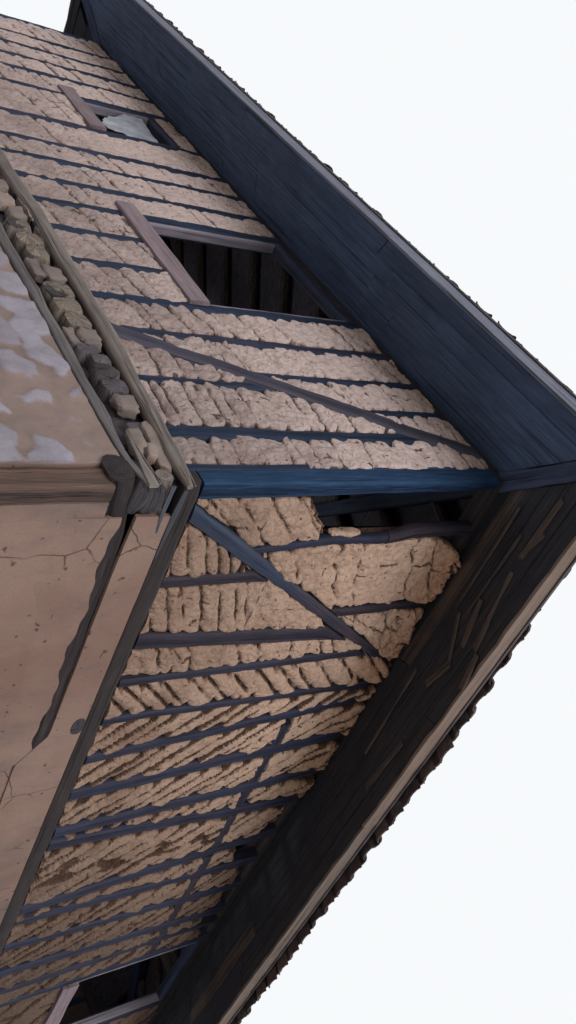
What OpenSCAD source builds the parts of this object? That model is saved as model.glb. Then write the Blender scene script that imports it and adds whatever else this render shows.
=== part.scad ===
// Two-storey adobe house: stone and mud ground storey, timber-framed upper storey
// with adobe infill, hipped tile roof on wide eaves.
// X runs along the front wall, Y along the side walls, Z up; the origin is at ground
// level, under the middle of the roof's plan.

/* [House] */
// Length of the front and back walls
front_len = 9200; // [9000:100:12000]
// Length of the left and right walls
side_len = 7900; // [7400:100:8600]

/* [Ground storey] */
// Height of the mud walls at front and back
ground_h = 3630; // [2600:5:4200]
// Thickness of the ground storey walls
ground_wall_t = 500; // [400:10:700]
// Height of the stone side walls above the mud walls
stone_rise = 100; // [60:5:150]
// Width of the ground storey corner posts on the side walls
ground_post_side = 150; // [100:5:200]
// Width of the ground storey corner posts on the front and back walls
ground_post_front = 110; // [90:5:180]
// Clear width of the doorway in the back wall
door_w = 1000; // [800:50:1200]
// Clear height of the doorway
door_h = 1950; // [1800:50:2200]
// Thickness of the door frame timbers
door_frame_t = 90; // [60:5:120]

/* [Floor zone] */
// Diameter of the plate logs on the front and back walls
front_plate_d = 205; // [160:5:220]
// Diameter of the plate logs on the side walls
side_plate_d = 130; // [110:5:160]
// How far the logs stand out of the wall face
log_proud = 20; // [0:5:40]
// How far the crossing plate ends run past the corners
plate_end = 60; // [40:10:200]
// Diameter of the floor joist logs
joist_d = 135; // [110:5:160]
// Number of floor joists
joist_count = 10; // [7:1:15]
// How far the joist ends stand out of the side walls
joist_end = 40; // [0:10:120]
// Thickness of the plaster over the outermost joists
band_t = 15; // [10:1:40]
// Height of the sole plates under the upper walls
sole_h = 140; // [110:5:170]
// How far the front sole plates run past the corners
sole_end = 50; // [30:5:120]
// Thickness of the floor boards
deck_t = 30; // [20:2:40]
// Diameter of the log beam under the joists
beam_d = 240; // [180:10:300]
// Diameter of the posts under the beam
prop_d = 180; // [140:10:240]

/* [Upper storey] */
// Height of the upper walls between sole plate and top plate
upper_h = 2270; // [2100:10:2600]
// Side of the squared corner posts of the upper storey
post_w = 115; // [100:5:150]
// Depth of the studs and braces
stud_t = 100; // [80:5:110]
// How far studs and top plates stand back from the wall face
stud_inset = 15; // [12:1:25]
// Thickness of the adobe infill
infill_t = 110; // [90:5:125]
// How far the adobe stands back from the wall face
infill_inset = 10; // [4:1:11]
// Width of the braces
brace_w = 105; // [80:5:130]
// Height of the rail in the front and back walls
rail_h = 90; // [70:5:120]
// Height of that rail's underside above the sole plates
rail_z = 1600; // [1300:10:1700]

/* [Windows] */
// Distance from the front window to the far corner
window_end = 2080; // [2000:20:2600]
// Width of the large windows
big_window_w = 1240; // [900:20:1400]
// Height of the large window's sill above the sole plates
big_sill_z = 940; // [700:10:1100]
// Width of the small windows
small_window_w = 700; // [500:20:900]
// Height of the small window's sill above the sole plates
small_sill_z = 1310; // [1100:10:1500]
// Clear height of the small windows
small_window_h = 720; // [500:10:800]
// Height of the timber rails over and under the windows
window_rail_h = 80; // [50:5:100]
// Width of the boards that line the window sides
lining_w = 35; // [25:5:60]
// Height of the sill boards on the outside
sill_board_h = 170; // [120:5:200]
// Thickness of the sill boards
sill_board_t = 50; // [30:5:70]

/* [Roof] */
// Pitch of the roof in degrees
pitch = 22; // [16:1:28]
// Reach of the eaves beyond the walls
overhang = 800; // [600:10:1000]
// Reach of the back eave beyond the back wall
back_overhang = 550; // [400:10:800]
// Reach of the tiles beyond the front eave board
front_drip = 100; // [60:5:140]
// Reach of the tiles beyond the other eave boards
side_drip = 60; // [30:5:80]
// Width of the top plates
top_plate_w = 120; // [100:5:130]
// Height of the top plates
top_plate_h = 110; // [90:5:140]
// Diameter of the rafter poles
rafter_d = 100; // [80:5:120]
// Distance between rafters
rafter_step = 640; // [500:10:800]
// Width of the hip rafters
hip_w = 130; // [100:5:160]
// Depth of the hip rafters
hip_h = 150; // [130:5:180]
// Width of the ridge beam
ridge_w = 120; // [90:5:150]
// Height of the ridge beam
ridge_h = 160; // [120:5:200]
// Thickness of the roof boards
roof_board_t = 25; // [18:1:30]
// Thickness of the boards under the eaves
soffit_t = 20; // [15:1:25]
// Height of the eave boards
eave_board_h = 130; // [100:5:160]
// Thickness of the eave boards
eave_board_t = 25; // [20:1:35]
// Thickness of the layer of roof tiles, to the top of the cover tiles
tile_t = 90; // [70:5:110]
// Distance between rows of cover tiles
tile_step = 250; // [200:10:320]
// Width of the cover tiles
tile_w = 170; // [140:5:190]
// How far the cover tiles stand above the pan tiles
cover_rise = 45; // [30:5:60]
// Diameter of the ridge and hip tiles
cap_d = 260; // [200:10:320]
// How far the ridge and hip tiles stand above the tile layer
cap_rise = 70; // [50:5:90]

/* [Hidden] */

// Running gap between faces that would otherwise coincide at a slant
fit = 0.3;
// Longer than anything in the house
far = 20000;

// Levels, each from the one below
stone_h = ground_h + stone_rise;
front_plate_z = ground_h + front_plate_d / 2;
side_plate_z = stone_h + side_plate_d / 2;
plate_lap_z = (ground_h + front_plate_d + stone_h) / 2;
joist_z = stone_h + side_plate_d;
sole_z = joist_z + joist_d;
upper_z = sole_z + sole_h;
wall_top = upper_z + upper_h;
plate_top = wall_top + top_plate_h;

// Roof plane: the top of the rafters, at the outer face of the walls
roof_z = plate_top + fit + rafter_d / cos(pitch) - stud_inset * tan(pitch);
hip_pitch = atan(tan(pitch) / sqrt(2));
ridge_half = (front_len - side_len) / 2;
ridge_z = roof_z + side_len / 2 * tan(pitch);
// Reach of the roof planes before they are trimmed at the eaves
roof_reach = max(overhang, back_overhang) + max(front_drip, side_drip);
board_over = 10;
tile_top_rise = (roof_board_t + tile_t) / cos(pitch);

// Studs of the walls, as [foot, head, width]: places along the wall from the front left
// corner, for those under the brace, over it, clear of it and under the large window
left_under = [[395, 385, 105], [915, 905, 60]];
left_over = [[690, 690, 50], [1035, 1035, 60], [1430, 1400, 85]];
left_clear = [[3560, 3520, 90], [3960, 3930, 80], [4330, 4300, 85]];
left_low = [[2290, 2280, 70], [2740, 2730, 70]];
front_under = [[680, 680, 90], [1135, 1350, 140], [1530, 1580, 75]];
front_over = [[1085, 1110, 75]];
front_clear = [
    [1895, 1985, 75], [2280, 2160, 90], [2665, 2590, 130], [3100, 3080, 115], [3245, 3470, 130],
    [4130, 3960, 130], [4300, 4400, 110], [4690, 4830, 110], [5130, 5250, 120]];
// A batten beside the left wall's corner post, and its height
batten_w = 42;
batten_h = 760;
// Evenly spaced studs at the far ends of the walls
even_w = 85;
even_step = 385;
even_lean = 30;
// The first front stud is a crooked pole that stands on the brace
crooked_stud_w = 100;
crooked_stud_x = [490, 445, 395, 340];
crooked_stud_z = [0, 0.31, 0.57, 1] * upper_h;
// Braces, as [foot, head] along the wall
left_brace = [1470, 280];
front_brace = [200, 1760];
// Windows, as [start along the wall, width, sill height, clear height]
big_window_h = upper_h - big_sill_z - window_rail_h;
jamb_w = 90;
left_big_x = 1915;
left_small_x = 4950;
front_window_x = front_len - window_end - big_window_w;
left_windows = [[left_big_x, big_window_w, big_sill_z, big_window_h],
                [left_small_x, small_window_w, small_sill_z, small_window_h]];
front_windows = [[front_window_x, big_window_w, big_sill_z, big_window_h]];
// Sill boards run past the window, less at the near end than at the far end
sill_near = 20;
sill_far = 190;
// Edge of the hole where the infill beside the front left post is missing, as places from
// the post and heights above the sole plate, and the bit of infill left on the stud
loss_edge = [[0, 750], [85, 820], [145, 870], [245, 970], [300, 970]];
left_bit = [[280, 1110], [210, 1120], [205, 1250], [245, 1330], [280, 1320]];
// Where the tops of the front infill have crumbled away, as places along the wall and depths
// below the top plate
worn_tops = [[[300, 420], [480, 300], [520, 195], [620, 0]],
             [[3640, 0], [3800, 75], [4010, 235], [4100, 345], [4300, 300], [4640, 85],
              [4940, 95], [5270, 155], [5520, 195], [5900, 0]]];

// Colours
adobe = "#b79a80";
mud = "#a98a6a";
stone = "#9d9a98";
timber = "#5c5049";
grey_timber = "#4f5a68";
board = "#6d5f55";
clay = "#8f4d35";

// Carries a shape to the opposite side of the house as well
module both_sides() {
    children();
    rotate([0, 0, 180]) children();
}

// A shape drawn as length and height on a wall, given its depth behind the face
module on_front(inset, depth)
    translate([-front_len / 2, inset + depth - side_len / 2, 0])
        rotate([90, 0, 0]) linear_extrude(depth) children();
module on_left(inset, depth)
    translate([inset - front_len / 2, -side_len / 2, 0])
        rotate([90, 0, 90]) linear_extrude(depth) children();

// A log that lies along X or along Y, by the middle of its near end
module log_x(start, length, d) translate(start) rotate([0, 90, 0]) cylinder(h = length, d = d);
module log_y(start, length, d) translate(start) rotate([-90, 0, 0]) cylinder(h = length, d = d);

// Plan of one ground wall along X, mitred behind corner posts of that width and depth
module ground_wall_plan(length, post, depth)
    polygon([[post, 0], [length - post, 0], [length - post, depth],
             [length - ground_wall_t, ground_wall_t], [ground_wall_t, ground_wall_t],
             [post, depth]]);

module front_wall_block()
    translate([-front_len / 2, -side_len / 2, 0])
        linear_extrude(ground_h) ground_wall_plan(front_len, ground_post_front, ground_post_side);
module left_wall_block()
    rotate([0, 0, -90]) translate([-side_len / 2, -front_len / 2, 0])
        linear_extrude(stone_h) ground_wall_plan(side_len, ground_post_side, ground_post_front);

// The doorway with its frame, in the middle of the back wall
module doorway(clear)
    translate([-door_w / 2 - clear, side_len / 2 - ground_wall_t - 1, -1])
        cube([door_w + 2 * clear, ground_wall_t + 2, door_h + clear + 1]);

module left_stone_wall() color(stone) left_wall_block();
module right_stone_wall() color(stone) rotate([0, 0, 180]) left_wall_block();
module front_mud_wall() color(mud) front_wall_block();
module back_mud_wall() color(mud) difference() {
    rotate([0, 0, 180]) front_wall_block();
    doorway(door_frame_t);
}

module ground_corner_posts() color(timber)
    for (x = [-1, 1], y = [-1, 1])
        translate([x * (front_len - ground_post_front) / 2, y * (side_len - ground_post_side) / 2,
                   ground_h / 2])
            cube([ground_post_front, ground_post_side, ground_h], center = true);

module door_frame() color(timber) {
    frame_depth = 160;
    translate([0, side_len / 2, 0]) difference() {
        translate([-door_w / 2 - door_frame_t, -frame_depth, 0])
            cube([door_w + 2 * door_frame_t, frame_depth, door_h + door_frame_t]);
        translate([-door_w / 2, -frame_depth - 1, -1])
            cube([door_w, frame_depth + 2, door_h + 1]);
    }
}

// Plates on the ground walls: logs that cross with a flat lap at each corner
front_plate_y = front_plate_d / 2 - log_proud;
side_plate_x = side_plate_d / 2 - log_proud;
// Room in the front and back plates for the side plates, and the other way round
module corner_lap_x(low, high)
    for (x = [-1, 1])
        translate([x * (front_len / 2 - side_plate_x) - side_plate_d / 2, -far / 2, low])
            cube([side_plate_d, far, high - low]);
module corner_lap_y(low, high)
    for (y = [-1, 1])
        translate([-far / 2, y * (side_len / 2 - front_plate_y) - front_plate_d / 2, low])
            cube([far, front_plate_d, high - low]);

module front_wall_plates() color(timber) difference() {
    both_sides() log_x([-front_len / 2 - plate_end, front_plate_y - side_len / 2, front_plate_z],
                       front_len + 2 * plate_end, front_plate_d);
    corner_lap_x(plate_lap_z, front_plate_z + front_plate_d);
}

module side_wall_plates() color(timber) difference() {
    both_sides() log_y([side_plate_x - front_len / 2, -side_len / 2 - plate_end, side_plate_z],
                       side_len + 2 * plate_end, side_plate_d);
    corner_lap_y(stone_h - 1, plate_lap_z);
}

// Joists lie along X on the side plates; the outermost are plastered over
first_joist = band_t + joist_d / 2;
joist_gap = (side_len - 2 * first_joist) / (joist_count - 1);
module floor_joists() color(timber)
    for (i = [0 : joist_count - 1])
        log_x([-front_len / 2 - joist_end, first_joist + i * joist_gap - side_len / 2,
               joist_z + joist_d / 2],
              front_len + 2 * joist_end, joist_d);

// Stones and mud blocks between the joist ends
pack_depth = 150;
pack_share = 0.55;
module joist_packing() color(mud) {
    block_w = (joist_gap - joist_d) * pack_share;
    both_sides()
        for (i = [0 : joist_count - 2])
            translate([side_plate_x / 2 - front_len / 2,
                       first_joist + (i + 0.5) * joist_gap - side_len / 2 - block_w / 2, joist_z])
                cube([pack_depth, block_w, joist_d]);
}

// The plaster over the outermost joists starts past the split end at the corner
band_start = 370;
module plaster_bands() color(mud) both_sides()
    translate([band_start - front_len / 2, -side_len / 2, ground_h + front_plate_d])
        cube([front_len - 2 * band_start, band_t, sole_z - ground_h - front_plate_d]);

module floor_beam() color(timber)
    log_y([0, ground_wall_t - side_len / 2, joist_z - beam_d / 2], side_len - 2 * ground_wall_t, beam_d);

module beam_posts() color(timber)
    for (y = [-1, 1])
        translate([0, y * side_len / 6, 0]) cylinder(h = joist_z - beam_d, d = prop_d);

// Sole plates: squared timbers at front and back, poles at the sides, lapped at the corners
sole_lap_z = sole_z + sole_h / 2;
sole_in = sole_h - log_proud;
module front_sole_plates() color(grey_timber) difference() {
    both_sides() translate([-front_len / 2 - sole_end, -side_len / 2 - log_proud, sole_z])
        cube([front_len + 2 * sole_end, sole_h, sole_h]);
    for (x = [-1, 1])
        translate([x * (front_len / 2 - sole_in + sole_h / 2) - sole_h / 2, -far / 2, sole_z - 1])
            cube([sole_h, far, sole_h / 2 + 1]);
}
module side_sole_plates() color(timber) difference() {
    both_sides() log_y([sole_h / 2 - log_proud - front_len / 2, -side_len / 2 - log_proud, sole_lap_z],
                       side_len + 2 * log_proud, sole_h);
    for (y = [-1, 1])
        translate([-far / 2, y * (side_len / 2 - sole_in + sole_h / 2) - sole_h / 2, sole_lap_z])
            cube([far, sole_h, sole_h]);
}

deck_gap = 5;
module floor_deck() color(board)
    translate([0, 0, sole_z + deck_t / 2])
        cube([front_len - 2 * (sole_in + deck_gap), side_len - 2 * (sole_in + deck_gap), deck_t],
             center = true);

module corner_posts() color(grey_timber)
    for (x = [-1, 1], y = [-1, 1])
        translate([x * (front_len - post_w) / 2, y * (side_len - post_w) / 2, upper_z + upper_h / 2])
            cube([post_w, post_w, upper_h], center = true);

// Face of an upper wall between its corner posts
module wall_face(length)
    translate([post_w, upper_z]) square([length - 2 * post_w, upper_h]);

// Strip of a brace, and the part of the wall under (-1) or over (1) it
function brace_angle(b) = atan2(upper_h, b[1] - b[0]);
module along_brace(b) translate([b[0], upper_z]) rotate(brace_angle(b)) children();
module brace_strip(b) along_brace(b) translate([-far / 2, -brace_w / 2]) square([far, brace_w]);
module brace_side(b, part) {
    up = b[1] > b[0] ? part : -part;
    along_brace(b) translate([-far / 2, up > 0 ? brace_w / 2 : -brace_w / 2 - far]) square([far, far]);
}
module brace_outline(b, length) intersection() {
    wall_face(length);
    brace_strip(b);
}

module stud_outline(s, top = upper_h)
    polygon([[s[0], upper_z], [s[0] + s[2], upper_z],
             [s[1] + s[2], upper_z + top], [s[1], upper_z + top]]);

module studs(list, top = upper_h)
    for (s = list) stud_outline(s, top);
// Studs that end at a brace, under it (part = -1) or over it (part = 1)
module cut_studs(list, b, part) intersection() {
    studs(list);
    brace_side(b, part);
}
module even_studs(from, to)
    for (x = [from + even_step : even_step : to - even_w - even_step / 3])
        stud_outline([x, x - even_lean, even_w]);

module jambs(windows)
    for (w = windows, x = [w[0] - jamb_w, w[0] + w[1]])
        translate([x, upper_z]) square([jamb_w, upper_h]);

module crooked_stud(b) {
    count = len(crooked_stud_x);
    intersection() {
        polygon([for (i = [0 : count - 1]) [crooked_stud_x[i], upper_z + crooked_stud_z[i]],
                 for (i = [count - 1 : -1 : 0])
                     [crooked_stud_x[i] + crooked_stud_w, upper_z + crooked_stud_z[i]]]);
        brace_side(b, 1);
    }
}

module left_stud_shapes() {
    cut_studs(left_under, left_brace, -1);
    cut_studs(left_over, left_brace, 1);
    studs(left_clear);
    studs(left_low, big_sill_z - window_rail_h);
    jambs(left_windows);
    even_studs(left_small_x + small_window_w + jamb_w, side_len - post_w);
    translate([post_w, upper_z]) square([batten_w, batten_h]);
}
// The studs around the front brace, also at the far end
module front_end_studs() {
    cut_studs([front_under[0], front_under[2]], front_brace, -1);
    cut_studs(front_over, front_brace, 1);
    crooked_stud(front_brace);
}
module front_stud_shapes() {
    front_end_studs();
    translate([front_len, 0]) mirror([1, 0]) front_end_studs();
    cut_studs([front_under[1]], front_brace, -1);
    studs(front_clear);
    jambs(front_windows);
    even_studs(front_clear[len(front_clear) - 1][0], front_window_x - jamb_w);
}
module far_front_brace() translate([front_len, 0]) mirror([1, 0]) brace_outline(front_brace, front_len);
module left_brace_shapes() brace_outline(left_brace, side_len);

// Rail that crosses the front wall from the second clear stud to the window jamb
rail_start = front_clear[1][0] + front_clear[1][2];
module rail_shape() difference() {
    translate([rail_start, upper_z + rail_z])
        square([front_window_x - jamb_w - rail_start, rail_h]);
    front_stud_shapes();
}

// Openings with the timber rails over and under them
module window_holes(windows, margin)
    for (w = windows)
        translate([w[0], upper_z + w[2] - margin]) square([w[1], w[3] + 2 * margin]);

// The front infill is broken away beside the near corner post, but for a bit on the stud
module lost_infill() translate([post_w, upper_z]) difference() {
    polygon(concat(loss_edge, [[loss_edge[len(loss_edge) - 1][0], far], [0, far]]));
    polygon(left_bit);
}
// Elsewhere it has only crumbled at the top
module worn_infill() translate([0, wall_top]) for (worn = worn_tops) {
    last = len(worn) - 1;
    polygon(concat([for (p = worn) [p[0], -p[1]]], [[worn[last][0], far], [worn[0][0], far]]));
}

module left_infill_shapes() difference() {
    wall_face(side_len);
    left_stud_shapes();
    left_brace_shapes();
    window_holes(left_windows, window_rail_h);
}
module front_infill_shapes() difference() {
    wall_face(front_len);
    front_stud_shapes();
    brace_outline(front_brace, front_len);
    far_front_brace();
    rail_shape();
    window_holes(front_windows, window_rail_h);
}

module left_studs() color(timber) on_left(stud_inset, stud_t) left_stud_shapes();
module right_studs() color(timber) rotate([0, 0, 180]) on_left(stud_inset, stud_t) left_stud_shapes();
module front_studs() color(grey_timber) on_front(stud_inset, stud_t) front_stud_shapes();
module back_studs() color(grey_timber)
    rotate([0, 0, 180]) on_front(stud_inset, stud_t) front_stud_shapes();
module side_braces() color(timber) both_sides() on_left(stud_inset, stud_t) left_brace_shapes();
module front_braces() color(grey_timber) both_sides() on_front(stud_inset, stud_t) {
    brace_outline(front_brace, front_len);
    far_front_brace();
}
module front_rails() color(timber) both_sides() on_front(stud_inset, stud_t) rail_shape();

module left_infill() color(adobe) on_left(infill_inset, infill_t) left_infill_shapes();
module right_infill() color(adobe)
    rotate([0, 0, 180]) on_left(infill_inset, infill_t) left_infill_shapes();
module front_infill() color(adobe) on_front(infill_inset, infill_t) difference() {
    front_infill_shapes();
    lost_infill();
    worn_infill();
}
module back_infill() color(adobe)
    rotate([0, 0, 180]) on_front(infill_inset, infill_t) front_infill_shapes();

// Timber rails over and under each window, between its jambs
module window_rail_shapes(windows) difference() {
    window_holes(windows, window_rail_h);
    window_holes(windows, 0);
}
module window_rails() color(timber) both_sides() {
    on_left(stud_inset, stud_t) window_rail_shapes(left_windows);
    on_front(stud_inset, stud_t) window_rail_shapes(front_windows);
}
// Boards that line the sides of each window, behind the face of the jambs
lining_back = 20;
module lining_shapes(windows)
    for (w = windows, x = [w[0], w[0] + w[1] - lining_w])
        translate([x, upper_z + w[2]]) square([lining_w, w[3]]);
module window_linings() color(board) both_sides() {
    on_left(stud_inset + lining_back, stud_t - lining_back) lining_shapes(left_windows);
    on_front(stud_inset + lining_back, stud_t - lining_back) lining_shapes(front_windows);
}
module sill_shapes(windows)
    for (w = windows)
        translate([w[0] - sill_near, upper_z + w[2] - sill_board_h])
            square([w[1] + sill_near + sill_far, sill_board_h]);
module window_sills() color(board) both_sides() {
    on_left(infill_inset - sill_board_t, sill_board_t) sill_shapes(left_windows);
    on_front(infill_inset - sill_board_t, sill_board_t) sill_shapes(front_windows);
}

// Top plates: the front and back ones run through, the side ones butt between them
module front_plate_block()
    translate([-front_len / 2 + stud_inset, -side_len / 2 + stud_inset, wall_top])
        cube([front_len - 2 * stud_inset, top_plate_w, top_plate_h]);
module side_plate_block()
    translate([-front_len / 2 + stud_inset, -side_len / 2 + stud_inset + top_plate_w, wall_top])
        cube([top_plate_w, side_len - 2 * (stud_inset + top_plate_w), top_plate_h]);
module front_top_plates() color(timber) both_sides() front_plate_block();
module side_top_plates() color(timber) both_sides() side_plate_block();

// Beams from front plate to back plate at ceiling height
tie_w = 120;
outer_tie = front_len * 0.24;
inner_tie = ridge_half * 0.7;
tie_x = [-outer_tie, -inner_tie, inner_tie, outer_tie];
tie_span = side_len - 2 * (stud_inset + top_plate_w);
module tie_beams() color(timber)
    for (x = tie_x)
        translate([x, 0, wall_top + top_plate_h / 2]) cube([tie_w, tie_span, top_plate_h], center = true);

// Ridge beam, just under the roof planes, on two posts
ridge_top = ridge_z - ridge_w / 2 * tan(pitch) - fit;
module ridge_beam() color(timber)
    translate([0, 0, ridge_top - ridge_h / 2]) cube([2 * ridge_half, ridge_w, ridge_h], center = true);
module ridge_posts() color(timber)
    for (x = [-inner_tie, inner_tie])
        translate([x - tie_w / 2, -ridge_w / 2, plate_top])
            cube([tie_w, ridge_w, ridge_top - ridge_h - plate_top]);

// Plan of the front slope (end = 0) or of a side slope (end = 1), with the eave
// towards -Y; set_in draws it back from the hips, back from the ridge
module slope_plan(end, set_in = 0, back = 0) {
    across = (end == 1 ? side_len : front_len) / 2 + roof_reach;
    depth = (end == 1 ? front_len : side_len) / 2 + roof_reach;
    hip_step = set_in * sqrt(2);
    if (end == 1)
        polygon([[-across + hip_step, -depth], [across - hip_step, -depth],
                 [0, -ridge_half - hip_step]]);
    else
        polygon([[-across + hip_step, -depth], [across - hip_step, -depth],
                 [ridge_half - hip_step + back, -back], [-ridge_half + hip_step - back, -back]]);
}
// Trims the roof to how far it reaches beyond the eave boards at the front and elsewhere
module trim_eaves(front, others) intersection() {
    children();
    x = front_len / 2 + overhang + others;
    y0 = side_len / 2 + overhang + front;
    y1 = side_len / 2 + back_overhang + others;
    translate([-x, -y0, 0]) cube([2 * x, y0 + y1, far]);
}
// Carries a slope that is drawn with its eave towards -Y to all four sides
module slope_space(end) rotate([0, 0, end == 1 ? -90 : 0])
    translate([0, end == 1 ? -front_len / 2 : -side_len / 2, roof_z]) rotate([pitch, 0, 0]) children();
module slope_prism(end) rotate([0, 0, end == 1 ? -90 : 0]) linear_extrude(far) children();
// A flat layer of a slope, from lift above the rafters
module slope_layer(end, lift, thick, set_in = 0, back = 0) intersection() {
    slope_space(end) translate([-far / 2, -far / 2, lift]) cube([far, far, thick]);
    slope_prism(end) slope_plan(end, set_in, back);
}
// Gap at the mitres between the layers of two slopes, on each side
mitre = 0.5;

hip_side = hip_w / 2 + fit;
module slope_rafters(end) intersection() {
    half = end == 1 ? side_len / 2 + min(overhang, back_overhang) : front_len / 2 + overhang;
    count = floor((half - eave_board_t - rafter_d) / rafter_step);
    slope_space(end)
        for (i = [-count : count])
            translate([i * rafter_step, -far / 4, -rafter_d / 2]) rotate([-90, 0, 0])
                cylinder(h = far / 2, d = rafter_d, $fn = 8);
    slope_prism(end) slope_plan(end, hip_side, ridge_w / 2 + fit);
}
module trim_rafters() trim_eaves(-eave_board_t, -eave_board_t) children();
module front_rafters() color(timber) trim_rafters() both_sides() slope_rafters(0);
module side_rafters() color(timber) trim_rafters() both_sides() slope_rafters(1);

// Hip rafters, notched over the crossing top plates
hip_drop = hip_w / 2 / sqrt(2) * tan(pitch) * cos(hip_pitch) + fit;
module hip_rafter() {
    run = side_len / 2 + roof_reach;
    difference() {
        intersection() {
            translate([-front_len / 2 - roof_reach, -side_len / 2 - roof_reach,
                       roof_z - roof_reach * tan(pitch)])
                rotate([0, -hip_pitch, 45])
                    translate([0, -hip_w / 2, -hip_drop - hip_h]) cube([run * 2, hip_w, hip_h]);
            translate([-front_len / 2 - roof_reach, -side_len / 2 - roof_reach, 0])
                cube([run - fit, run - fit, far]);
        }
        front_plate_block();
        side_plate_block();
    }
}
module hip_rafters() color(timber) trim_rafters() both_sides() {
    hip_rafter();
    mirror([0, 1, 0]) hip_rafter();
}

// Boards across the rafter ends, butted at the front corners; the back one is as long
// as the back slope's eave
function eave_z(reach) = roof_z - reach * tan(pitch) - fit;
module eave_boards() color(board) {
    front_y = -side_len / 2 - overhang;
    back_y = side_len / 2 + back_overhang;
    translate([-front_len / 2 - overhang, front_y, eave_z(overhang) - eave_board_h])
        cube([front_len + 2 * overhang, eave_board_t, eave_board_h]);
    translate([-front_len / 2 - back_overhang, back_y - eave_board_t, eave_z(back_overhang) - eave_board_h])
        cube([front_len + 2 * back_overhang, eave_board_t, eave_board_h]);
    for (x = [-1, 1])
        translate([x * (front_len / 2 + overhang - eave_board_t / 2) - eave_board_t / 2,
                   front_y + eave_board_t + fit, eave_z(overhang) - eave_board_h])
            cube([eave_board_t, back_y - front_y - eave_board_t - fit, eave_board_h]);
}

// Boards under the rafters, from the eave board to the top plate
module slope_soffit(end) difference() {
    slope_layer(end, -rafter_d - soffit_t - fit, soffit_t, hip_side, ridge_w);
    cube([front_len - 2 * stud_inset + 2 * fit, side_len - 2 * stud_inset + 2 * fit, far], center = true);
}
module soffit_boards() color(board) trim_eaves(-eave_board_t - fit, -eave_board_t - fit) both_sides() {
    slope_soffit(0);
    slope_soffit(1);
}

module roof_boards() color(board) trim_eaves(board_over, board_over) both_sides() {
    slope_layer(0, 0, roof_board_t, mitre, mitre);
    slope_layer(1, 0, roof_board_t, mitre, mitre);
}
// Rows of cover tiles, one rib each, that run up a slope over the joints of the pan tiles
module cover_rows(end) intersection() {
    half = (end == 1 ? side_len : front_len) / 2 + roof_reach;
    count = floor(half / tile_step);
    low = roof_board_t + (tile_t - cover_rise) / 2;
    slope_space(end)
        for (i = [-count : count])
            translate([i * tile_step, 0, 0]) rotate([90, 0, 0]) linear_extrude(far, center = true)
                polygon([[-tile_w / 2, low], [tile_w / 2, low],
                         [tile_w / 2, roof_board_t + tile_t - cover_rise],
                         [tile_w / 4, roof_board_t + tile_t], [-tile_w / 4, roof_board_t + tile_t],
                         [-tile_w / 2, roof_board_t + tile_t - cover_rise]]);
    slope_prism(end) slope_plan(end, mitre, mitre);
}
module roof_tiles() color(clay) trim_eaves(front_drip, side_drip) both_sides() for (end = [0, 1]) {
    slope_layer(end, roof_board_t, tile_t - cover_rise, mitre, mitre);
    cover_rows(end);
}

// Ridge and hip tiles, laid over the tile layer
module under_roof() intersection() {
    for_slope(0);
    rotate([0, 0, 180]) for_slope(0);
    for_slope(1);
    rotate([0, 0, 180]) for_slope(1);
}
module for_slope(end) slope_space(end)
    translate([-far, -far, roof_board_t + tile_t - 2 * far]) cube([2 * far, 2 * far, 2 * far]);
module hip_cap() {
    run = side_len / 2 + roof_reach;
    low_z = roof_z - roof_reach * tan(pitch) + tile_top_rise;
    translate([-ridge_half, 0, low_z + run * tan(pitch) + cap_rise - cap_d / 2])
        rotate([0, -hip_pitch, 45]) rotate([0, -90, 0]) cylinder(h = run * 2, d = cap_d, $fn = 12);
}
module ridge_tiles() color(clay) trim_eaves(front_drip, side_drip) difference() {
    union() {
        both_sides() {
            hip_cap();
            mirror([0, 1, 0]) hip_cap();
        }
        translate([-ridge_half, 0, ridge_z + tile_top_rise + cap_rise - cap_d / 2])
            rotate([0, 90, 0]) cylinder(h = 2 * ridge_half, d = cap_d, $fn = 12);
    }
    under_roof();
}

// Puts the middle of the whole plan, eaves included, over the origin
module place() translate([0, (overhang + front_drip - back_overhang - side_drip) / 2, 0]) children();

place() left_stone_wall();
place() right_stone_wall();
place() front_mud_wall();
place() back_mud_wall();
place() ground_corner_posts();
place() door_frame();
place() front_wall_plates();
place() side_wall_plates();
place() floor_joists();
place() joist_packing();
place() plaster_bands();
place() floor_beam();
place() beam_posts();
place() front_sole_plates();
place() side_sole_plates();
place() floor_deck();
place() corner_posts();
place() left_studs();
place() right_studs();
place() front_studs();
place() back_studs();
place() side_braces();
place() front_braces();
place() front_rails();
place() left_infill();
place() right_infill();
place() front_infill();
place() back_infill();
place() window_rails();
place() window_linings();
place() window_sills();
place() front_top_plates();
place() side_top_plates();
place() tie_beams();
place() ridge_posts();
place() ridge_beam();
place() hip_rafters();
place() front_rafters();
place() side_rafters();
place() eave_boards();
place() soffit_boards();
place() roof_boards();
place() roof_tiles();
place() ridge_tiles();
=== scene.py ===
"""Dresses the adobe house: mud bricks, stones, hewn timber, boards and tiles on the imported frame."""
import math
import random

import bmesh
import bpy
import numpy as np
from mathutils import Matrix, Vector


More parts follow.
